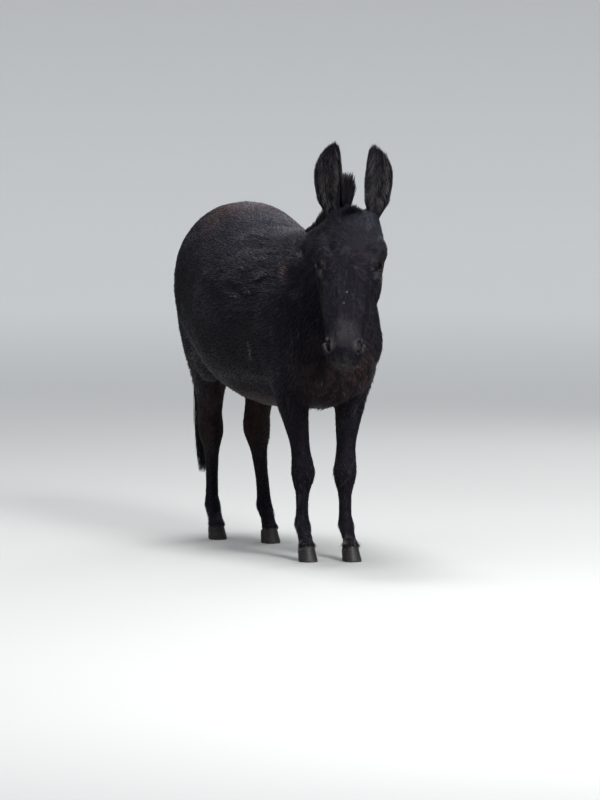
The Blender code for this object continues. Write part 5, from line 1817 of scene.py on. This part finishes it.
@dataclass
class Forelock:
    """The short hair over the poll, which stands up in front of the mane and fades into the forehead."""

    skin: bpy.types.Object
    half_width: float = 0.031
    half_depth: float = 0.018
    shortest: float = 0.009
    longest: float = 0.030

    def bed(self) -> bpy.types.Object:
        """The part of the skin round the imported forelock's foot."""
        low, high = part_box("forelock")
        middle = np.array((low + high) / 2)
        points = points_of(self.skin.data)
        x, y = (points[:, 0] - middle[0]) / self.half_width, (points[:, 1] - middle[1] - 0.006) / self.half_depth
        near = (np.hypot(x, y) < 1.0) & (points[:, 2] > low.z - 0.03) & (points[:, 2] < low.z + 0.045)
        used, faces = part_of(self.skin, near)
        x, y = x[used], y[used]
        upright = np.stack([0.45 * x - 0.12, 0.45 * y - 0.25, np.full(len(x), 1.0)], 1)
        along, out, aside = (np.array(v) for v in HEAD.axes())
        normals = normals_of(self.skin.data)[used]
        fall = along[None, :] + aside[None, :] * (0.8 * x)[:, None] - out[None, :] * 0.1
        fall = flattened(fall, normals) + 0.25 * normals
        back = eased(-0.35, 0.55, y)[:, None]
        lie = unit(unit(upright) * back + unit(fall) * (1 - back))
        rise = (1 - np.hypot(x, y) ** 2) * (0.15 + 0.85 * eased(-0.2, 0.6, y))
        tallest = self.shortest + (self.longest - self.shortest) * rise
        outward = flattened(out[None, :] + normals, lie)
        unwrap = corner_unwrap(x / 4, y, faces)
        foot = points[used] - normals * 0.001
        return bed_piece(foot, faces.tolist(), length=tallest, lie=lie, outward=outward, unwrap=unwrap)


def muzzle_bed(skin: bpy.types.Object) -> bpy.types.Object:
    """The part of the skin on lips and chin, where bristles grow."""
    points, normals = points_of(skin.data), normals_of(skin.data)
    a, o, s = HEAD.inside(points).T
    used, faces = part_of(skin, (a > 0.425) & (o < -0.062) & (HEAD.share(points) > 0.9))
    a, o, s, points, normals = a[used], o[used], s[used], points[used], normals[used]
    chin = eased(-0.085, -0.100, o)
    lie = flattened(np.tile(np.array(HEAD.axes()[0]), (len(used), 1)), normals)
    unwrap = corner_unwrap(np.arctan2(s, -0.05 - o) / 7, a, faces)
    length, close = 0.008 + 0.010 * chin, 0.25 + 0.75 * chin
    return bed_piece(points, faces.tolist(), close=close, length=length, lie=lie, outward=normals, unwrap=unwrap)


def ear_hair_bed() -> bpy.types.Object:
    """The lining of both ears, where the long inner hair grows."""
    points, lie, length, outward, close, faces, corners = [], [], [], [], [], [], []
    shares, turns = np.linspace(0.06, 0.86, 22), np.linspace(-0.82, 0.82, 15)
    for number, side in enumerate(Side):
        ear = Ear(side)
        ahead, _, up = (np.array(v) for v in ear.axes())
        first = len(points)
        for share in shares:
            section = ear.section(float(share), turns, 1.0)
            middle = section.mean(0)
            for turn, point in zip(turns, section):
                edge = abs(turn) / 0.82
                inward = unit(middle + ahead * 0.02 - point)
                points.append(point - inward * 0.0008)
                lie.append(unit(up * 1.0 + ahead * (0.55 - 0.35 * edge) + inward * (0.25 + 0.30 * edge)))
                outward.append(unit(ahead + inward * 0.3))
                length.append(0.020 + 0.018 * edge * math.sin(math.pi * min(1.0, share * 1.05)) + 0.012 * (1 - share))
                close.append((0.35 + 0.65 * edge**2) * (1.0 - 0.6 * float(eased(0.5, 0.85, np.array(share)))))
        quads, places = grid(len(shares), len(turns))
        faces += [tuple(first + k for k in quad) for quad in quads]
        corners.append(in_map((places + (number, 0)) / (2, 1)))
    unwrap = np.concatenate(corners)
    return bed_piece(points, faces, close=close, length=length, lie=lie, outward=outward, unwrap=unwrap)


@dataclass
class Tail:
    """The tail: a short haired dock with long strands that hang over one another to the tip."""

    strands: int = 1500
    steps: int = 11
    seed: int = 7
    # centre of the tail, half width and half depth of its outer form
    stations: tuple = (
        (0, 0.000, 0.470, 0.955, 0.032, 0.026),
        (1, 0.000, 0.515, 0.930, 0.031, 0.026),
        (2, -0.002, 0.545, 0.870, 0.029, 0.025),
        (3, -0.006, 0.556, 0.790, 0.032, 0.028),
        (4, -0.014, 0.560, 0.690, 0.040, 0.035),
        (5, -0.021, 0.562, 0.580, 0.042, 0.036),
        (6, -0.026, 0.564, 0.460, 0.038, 0.033),
        (7, -0.031, 0.566, 0.350, 0.029, 0.026),
        (8, -0.034, 0.568, 0.260, 0.023, 0.020),
        (9, -0.036, 0.569, 0.200, 0.018, 0.014),
    )

    def frames(self, shares: np.ndarray) -> tuple[np.ndarray, np.ndarray, np.ndarray]:
        """The form of the tail along its length.

        Args:
            shares: shares of the length.

        Returns:
            A row for each share: the centre, the half width and half depth, and the direction of the depth.
        """
        last = len(self.stations) - 1
        here = along_rows(self.stations, shares * last)
        later = along_rows(self.stations, np.minimum(shares + 0.01, 1) * last)
        sooner = along_rows(self.stations, np.maximum(shares - 0.01, 0) * last)
        way = unit(later[:, :3] - sooner[:, :3])
        deep = unit(np.cross(way, np.array((1.0, 0, 0))))
        return here[:, :3] + np.array(SHIFT), here[:, 3:], deep

    def dock(self) -> bpy.types.Object:
        """The tail's bone and flesh."""
        rings = []
        shares = np.linspace(0.0, 0.46, 24)
        centres, halves, deeps = self.frames(shares)
        for share, centre, half, deep in zip(shares, centres, halves, deeps):
            size = 0.86 - 0.62 * float(eased(0.15, 0.46, np.array(share)))
            turns = np.linspace(0, 2 * math.pi, 28, endpoint=False)
            flutes = 1 + 0.02 * np.sin(turns * 9 + share * 40)
            ring = centre + np.outer(np.cos(turns) * half[0] * size * flutes, (1, 0, 0))
            rings.append(ring + np.outer(np.sin(turns) * half[1] * size * flutes, deep))
        return loft("tail_dock", rings)

    def dock_bed(self) -> bpy.types.Object:
        """The dock's surface, where short hair lies down over the roots of the strands."""
        sides, shares = 28, np.linspace(0.0, 0.36, 20)
        centres, halves, deeps = self.frames(shares)
        points, lie, outward = [], [], []
        for centre, half, deep in zip(centres, halves, deeps):
            down = np.cross(np.array((1.0, 0, 0)), deep)
            for k in range(sides):
                turn = 2 * math.pi * k / sides
                away = math.cos(turn) * half[0] * np.array((1.0, 0, 0)) + math.sin(turn) * half[1] * deep
                points.append(centre + away * 0.84)
                lie.append(unit(down + 0.10 * unit(away)))
                outward.append(unit(away))
        faces, corners = grid(len(shares), sides, closed=True)
        length = np.repeat(0.024 + 0.050 * shares, sides)
        return bed_piece(points, faces, length=length, lie=lie, outward=outward, unwrap=in_map(corners))

    def lines(self) -> bpy.types.Object:
        """The strands' centre lines, with radius, tone and unwrap at each point."""
        draw = np.random.default_rng(self.seed)
        points, edges, radii, tones, places = [], [], [], [], []
        for k in range(self.strands):
            start = draw.uniform(0.10, 0.44)
            end = start + (1 - start) * draw.uniform(0.45, 1.0) if k % 4 else draw.uniform(0.76, 1.0)
            turn = draw.uniform(0, 2 * math.pi)
            depth = draw.uniform(0.55, 1.0)
            tone, wave, phase = draw.uniform(), draw.uniform(0.02, 0.10), draw.uniform(0, 6.28)
            shares = np.linspace(start, end, self.steps)
            run = np.linspace(0, 1, self.steps)
            centres, halves, deeps = self.frames(shares)
            reach = 0.62 + (depth - 0.62) * np.minimum(1.0, run * 2.6)
            reach = reach * (1 - 0.25 * run * draw.uniform(0.2, 1.0)) * (1 - 0.40 * eased(0.80, 1.0, shares))
            reach = reach * (1 + 0.45 * run**2 * draw.uniform(-1.0, 1.0))
            angle = turn + wave * np.sin(run * 7 + phase) + 0.25 * run * draw.uniform(-1, 1)
            line = centres + np.outer(np.cos(angle) * halves[:, 0] * reach, (1, 0, 0))
            line = line + deeps * (np.sin(angle) * halves[:, 1] * reach)[:, None]
            line[:, 0] += 0.009 * run**2 * draw.uniform(-1.0, 1.0)
            line[:, 1] += 0.009 * run**2 * draw.uniform(-1.2, 0.8)
            first = len(points)
            points += line.tolist()
            edges += [(first + i, first + i + 1) for i in range(self.steps - 1)]
            size = draw.uniform(0.0011, 0.0020)
            swell = 0.55 + 0.45 * np.sin(np.pi * np.minimum(run * 1.2, 1) * 0.5)
            radii += (size * swell * (1 - 0.85 * run**2.2)).tolist()
            tones += [tone] * self.steps
            spot = (0.01 + 0.975 * turn / (2 * math.pi), 0.01 + 0.975 * (start - 0.10) / 0.35)
            places += [(*spot, r) for r in run.tolist()]
        mesh = bpy.data.meshes.new("tail_lines")
        mesh.from_pydata(points, edges, [])
        for name, values, kind, key in (
            ("radius", radii, "FLOAT", "value"),
            ("tone", tones, "FLOAT", "value"),
            ("unwrap", places, "FLOAT_VECTOR", "vector"),
        ):
            layer = mesh.attributes.new(name, kind, "POINT")
            layer.data.foreach_set(key, np.array(values, np.float32).ravel())
        return linked("tail_lines", mesh)


# Eyes and hooves


@dataclass
class Eye:
    """One eyeball with a slightly domed cornea, and the wet rims of its lids."""

    side: Side
    radius: float = 0.0190
    dome: float = 0.0010
    inset: float = 0.0006
    cord: float = 0.0010

    def ball(self) -> bpy.types.Object:
        """The eyeball."""
        centre, look, corner, across = HEAD.eye(self.side)
        rings, sides = 28, 40
        points = []
        for r in range(1, rings):
            turn = math.pi * r / rings
            out = self.radius + self.dome * math.exp(-((turn / 0.62) ** 2)) - self.inset
            for s in range(sides):
                spin = 2 * math.pi * s / sides
                way = look * math.cos(turn) + (corner * math.cos(spin) + across * math.sin(spin)) * math.sin(turn)
                points.append(centre + way * out)
        front = centre + look * (self.radius + self.dome - self.inset)
        back = centre - look * (self.radius - self.inset)
        faces = grid(rings - 1, sides, closed=True)[0]
        first, last, low = len(points), len(points) + 1, (rings - 2) * sides
        points += [front, back]
        for s in range(sides):
            faces.append((first, s, (s + 1) % sides))
            faces.append((last, low + (s + 1) % sides, low + s))
        return faced_out(mesh_piece(f"eyeball_{self.side.word}", points, faces))

    def rim(self) -> bpy.types.Object:
        """The bare edge of both lids, a soft cord of skin round the opening."""
        centre, look, corner, across = HEAD.eye(self.side)
        half_long, steps, sides = 0.0187, 72, 10
        loop = []
        for k in range(steps):
            turn = 2 * math.pi * k / steps
            x = half_long * math.cos(turn)
            half_high = 0.0096 if math.sin(turn) > 0 else 0.0108
            y = half_high * math.copysign(1 - math.cos(turn) ** 2, math.sin(turn))
            flat = min(0.98, math.hypot(x, y) / (self.radius + 0.0012))
            deep = (self.radius + 0.0012) * math.sqrt(1 - flat * flat)
            loop.append(centre + corner * x + across * y + look * deep)
        rings = []
        for k, here in enumerate(loop):
            way = (loop[(k + 1) % steps] - loop[k - 1]).normalized()
            out = (here - centre).normalized()
            side_way = way.cross(out).normalized()
            spins = [2 * math.pi * s / sides for s in range(sides)]
            rings.append([here + (out * math.cos(t) * 1.3 + side_way * math.sin(t)) * self.cord for t in spins])
        faces = grid(steps, sides, closed=True, looped=True)[0]
        return faced_out(mesh_piece(f"lid_rim_{self.side.word}", np.concatenate(rings), faces))

    def lash_bed(self) -> bpy.types.Object:
        """A narrow band over the upper lid's edge, where the lashes grow."""
        centre, look, corner, across = HEAD.eye(self.side)
        points, lie, outward, length, faces, corners = [], [], [], [], [], []
        steps = 20
        for k in range(steps):
            x = 0.0165 * (2 * k / (steps - 1) - 1)
            for row in (0, 1):
                y = 0.0098 * (1 - (x / 0.0187) ** 2) + 0.0004 + 0.0012 * row
                flat = math.hypot(x, y)
                deep = (self.radius + 0.0022) * math.sqrt(max(0.02, 1 - (flat / (self.radius + 0.0022)) ** 2))
                points.append(tuple(centre + corner * x + across * y + look * deep))
                lie.append(tuple((look + across * 0.10 + corner * (x * 30)).normalized()))
                outward.append(tuple(across))
                length.append(0.019 - 0.006 * abs(x) / 0.0165)
        for k in range(steps - 1):
            faces.append((2 * k, 2 * k + 2, 2 * k + 3, 2 * k + 1))
            u, v = k / steps, (k + 1) / steps
            corners += [(u, 0.1), (v, 0.1), (v, 0.9), (u, 0.9)]
        unwrap = 0.01 + 0.97 * np.array(corners)
        return bed_piece(points, faces, length=length, lie=lie, outward=outward, unwrap=unwrap)


@dataclass
class Hoof:
    """One narrow upright hoof, with growth rings, a coronet band and a cupped sole with its frog."""

    leg: str
    side: Side
    toe: float = 0.052
    heel: float = 0.028
    # share of height, size of the wall
    swells: tuple = ((0.00, 1.085), (0.03, 1.10), (0.5, 1.040), (0.90, 0.965), (1.0, 0.93))
    # height and size of the sole's rings, and size and height of the rings over the coronet
    sole: tuple = ((0.34, 0.10), (0.26, 0.30), (0.10, 0.52), (0.02, 0.74), (0.0, 0.86), (0.0, 0.96))
    crown: tuple = ((0.93, 0.0025), (0.82, 0.0030), (0.55, 0.0030), (0.25, 0.0030))
    lean: float = 0.018
    rings: int = 26
    sides: int = 64

    def build(self) -> bpy.types.Object:
        """The hoof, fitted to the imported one's box."""
        name = f"hoof_{self.leg}_{self.side.word}"
        low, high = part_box(name)
        middle = (low + high) / 2
        half_wide, half_long = (high.x - low.x) / 2 / 1.11, (high.y - low.y) / 2 / 1.30
        centre = Vector((middle.x, middle.y - 0.002, 0.0))
        rings = []
        for share, size in self.sole:
            rings.append(self.outline(centre, half_wide * size * 1.08, half_long * size * 1.08, 0.0, 0.012 * share))
        for share in np.linspace(0.0, 1.0, self.rings):
            swell = along_rows(self.swells, np.array([share]))[0][0]
            ripple = 1 + (0.0028 * math.sin(share * 41) + 0.002 * math.sin(share * 23 + 1)) * math.sin(math.pi * share)
            rings.append(self.outline(centre, half_wide * swell * ripple, half_long * swell * ripple, share))
        for size, up in self.crown:
            rings.append(self.outline(centre, half_wide * size, half_long * size, 1.0, up))
        return loft(f"horn_{self.leg}_{self.side.word}", rings)

    def outline(self, centre: Vector, half_wide: float, half_long: float, share: float, up: float = 0.0) -> np.ndarray:
        """One ring of the wall: rounded at the toe, squarer at the heels, slanted up to the toe.

        Args:
            centre: the middle of the sole.
            half_wide: half the ring's width.
            half_long: half its length.
            share: its height as a share of the wall's.
            up: how far it is raised beyond that.

        Returns:
            The ring's points.
        """
        turns = np.linspace(0, 2 * math.pi, self.sides, endpoint=False)
        a, b = np.cos(turns), np.sin(turns)
        power = np.where(b > 0, 0.92, 0.80)
        x = np.sign(a) * np.abs(a) ** power * half_wide
        y = np.sign(b) * np.abs(b) ** power * half_long
        cleft = 0.006 * hump(x, 0.006) * (b < 0)
        slant = y / max(half_long, 1e-6) * (self.toe - self.heel) / 2
        z = share * ((self.toe + self.heel) / 2 + slant) + up
        return np.stack([centre.x + x, centre.y - y - cleft + share * self.lean, z], 1)


# Studio


@dataclass
class Studio:
    """Floor, soft lights and the camera that sees what the photo sees."""

    camera_place: tuple = (-6.199, -15.123, 1.6)
    pitch: float = math.radians(3.965)
    turn: float = math.radians(22.5)
    focal_pixels: float = 5280.0
    image_height: float = 800.0
    # floor_near is painted shade: the floor is darker near the middle, where the lamps' light pools.
    floor_near: tuple = (0.23, 0.23, 0.226, 1)
    floor_far: tuple = (0.40, 0.40, 0.395, 1)
    # height of the sky's direction, brightness
    sky: tuple = ((0.0, 0.12), (0.45, 0.16), (0.78, 1.1), (1.0, 3.9))
    sky_tint: tuple = (0.93, 0.96, 1.00)
    gamma: float = 0.90
    exposure: float = 0.18
    floor_reach: float = 24.0
    curve: float = 9.0

    def build(self) -> None:
        """Makes floor, lights, world and camera."""
        self.floor()
        self.world()
        self.light("key", (0.3, -4.8, 3.7), (0.0, 0.0, 0.7), 1.6, 520.0)
        self.light("top", (-0.2, 0.8, 5.4), (0.0, 0.0, 0.7), 2.0, 260.0)
        self.light("rim", (3.6, 3.4, 3.0), (0.0, 0.0, 0.7), 2.4, 75.0)
        self.light("side", (-4.6, 1.6, 3.4), (0.0, 0.1, 0.8), 2.0, 30.0)
        self.camera()

    def floor(self) -> None:
        """A wide pale floor that curves up into an even surround, with painted shade near the middle."""
        sides = 128
        turns = np.linspace(0, 2 * math.pi, sides, endpoint=False)
        profile = [(0.02, 0.0), (3.0, 0.0), (self.floor_reach, 0.0)]
        for turn in np.linspace(0, math.pi / 2, 24)[1:]:
            profile.append((self.floor_reach + self.curve * math.sin(turn), self.curve * (1 - math.cos(turn))))
        rings = [np.stack([np.cos(turns) * r, np.sin(turns) * r, np.full(sides, up)], 1) for r, up in profile]
        faces = [tuple(range(sides))] + [face[::-1] for face in grid(len(profile), sides, closed=True)[0]]
        floor = shaded(mesh_piece("floor", np.concatenate(rings), faces))
        material, g, shader = new_material("floor", 0.75)
        place = g.place()
        cloud = g.noise(place, 0.8, 3.0)
        # Painted shade: darker near the middle, under the lamps' pool of light, paler far off.
        near = g.near(place, (0.0, 0.0, 0.0), 2.0, 16.0)
        link(g, shader, "Base Color", g.mix(near - cloud * 0.05, self.floor_far, self.floor_near))
        floor.data.materials.append(material)

    def world(self) -> None:
        """A soft pale light from above, like a wide studio ceiling."""
        world = bpy.data.worlds.new("studio")
        world.use_nodes = True
        sky = next(n for n in world.node_tree.nodes if n.type == "BACKGROUND")
        g = Graph(world.node_tree)
        way = g.node("ShaderNodeTexCoord", {}, {}, "Generated")
        height = g.node("ShaderNodeSeparateXYZ", {}, {"Vector": way}, "Z")
        most = max(bright for _, bright in self.sky)
        stops = tuple((up, (*(c * bright / most for c in self.sky_tint), 1)) for up, bright in self.sky)
        link(g, sky, "Color", g.node("ShaderNodeValToRGB", {"stops": stops}, {"Fac": height}, "Color"))
        sky.inputs["Strength"].default_value = most
        bpy.context.scene.world = world
        view = bpy.context.scene.view_settings
        view.view_transform, view.gamma, view.exposure = "Standard", self.gamma, self.exposure

    def light(self, name: str, place: tuple, aim: tuple, size: float, watts: float) -> None:
        """A large soft lamp.

        Args:
            name: the lamp's name.
            place: where it hangs.
            aim: what it is turned to.
            size: the width of its disk.
            watts: its strength.
        """
        lamp = bpy.data.lights.new(name, "AREA")
        lamp.shape = "DISK"
        lamp.size = size
        lamp.energy = watts
        held = linked(name, lamp)
        held.location = place
        held.rotation_euler = (Vector(aim) - Vector(place)).to_track_quat("-Z", "Y").to_euler()

    def camera(self) -> None:
        """The camera at the photo's angle and framing."""
        lens = bpy.data.cameras.new("camera")
        lens.sensor_width = 36.0
        lens.sensor_fit = "AUTO"
        lens.lens = self.focal_pixels / self.image_height * lens.sensor_width
        lens.clip_end = 400.0
        held = linked("camera", lens)
        held.location = Vector(self.camera_place) + Vector((0, SHIFT.y, 0))
        held.rotation_euler = (math.pi / 2 - self.pitch, 0, -self.turn)
        bpy.context.scene.camera = held


# Everything in order


def main() -> None:
    """Builds the studio, the skin, the coat, the long hair, the eyes and the hooves."""
    logging.basicConfig(level=logging.INFO, format="%(name)s | %(message)s")
    Studio().build()
    hide = Hide()
    skin = Skin().build()
    bare = hide.skin()
    ready(skin, Slot.COAT, bare, (*FLESH, *EARS))
    tufts = TuftTree()
    short, long = shapes_in("short_tufts", SHORT_TUFTS), shapes_in("long_locks", LONG_LOCKS)
    coat = hide.tufts()
    Coat(skin, tufts, short, coat).build()
    # The black hair's dark is tinted blue: a painted reflection of the sky.
    black_hair = LongHair("black_hair", (0.0034, 0.0030, 0.0058, 1), (0.0130, 0.0095, 0.0110, 1)).build()
    ear_hair = LongHair("ear_hair", (0.0070, 0.0063, 0.0078, 1), (0.1380, 0.1270, 0.1280, 1), 0.46).build()
    brush = shapes_in("brush_locks", BRUSH_LOCKS)
    ready(tufts.grow("mane_hair", Mane(skin).bed(), brush, black_hair, MANE_GROWTH), Slot.HAIR, None, ("mane",))
    forelock = tufts.grow("forelock_hair", Forelock(skin).bed(), long, coat, FORELOCK_GROWTH)
    ready(forelock, Slot.HAIR, None, ("forelock",))
    ready(tufts.grow("ear_lining_hair", ear_hair_bed(), long, ear_hair, LINING_GROWTH), Slot.HAIR)
    tail = Tail()
    ready(tail.dock(), Slot.COAT, bare, ("tail",))
    ready(tufts.grow("tail_dock_hair", tail.dock_bed(), long, black_hair, DOCK_GROWTH), Slot.HAIR)
    ready(StrandTree().grow("tail_hair", tail.lines(), black_hair), Slot.HAIR, None, ("tail",))
    bristle = LongHair("bristle", (0.030, 0.026, 0.024, 1), (0.260, 0.235, 0.210, 1), 0.45).build()
    ready(tufts.grow("muzzle_bristles", muzzle_bed(skin), long, bristle, BRISTLE_GROWTH), Slot.HAIR)
    wet = Rubbery("lid_skin").build()
    for side in Side:
        eye = Eye(side)
        ready(eye.ball(), Slot.EYE, EyeFinish(side).build(), (f"eye_{side.word}",))
        ready(eye.rim(), Slot.COAT, wet)
        ready(tufts.grow(f"lashes_{side.word}", eye.lash_bed(), long, black_hair, LASH_GROWTH), Slot.HAIR)
    horn = Horn().build()
    for leg in ("fore", "hind"):
        for side in Side:
            ready(Hoof(leg, side).build(), Slot.HORN, horn, (f"hoof_{leg}_{side.word}",))


if __name__ == "__main__":
    main()
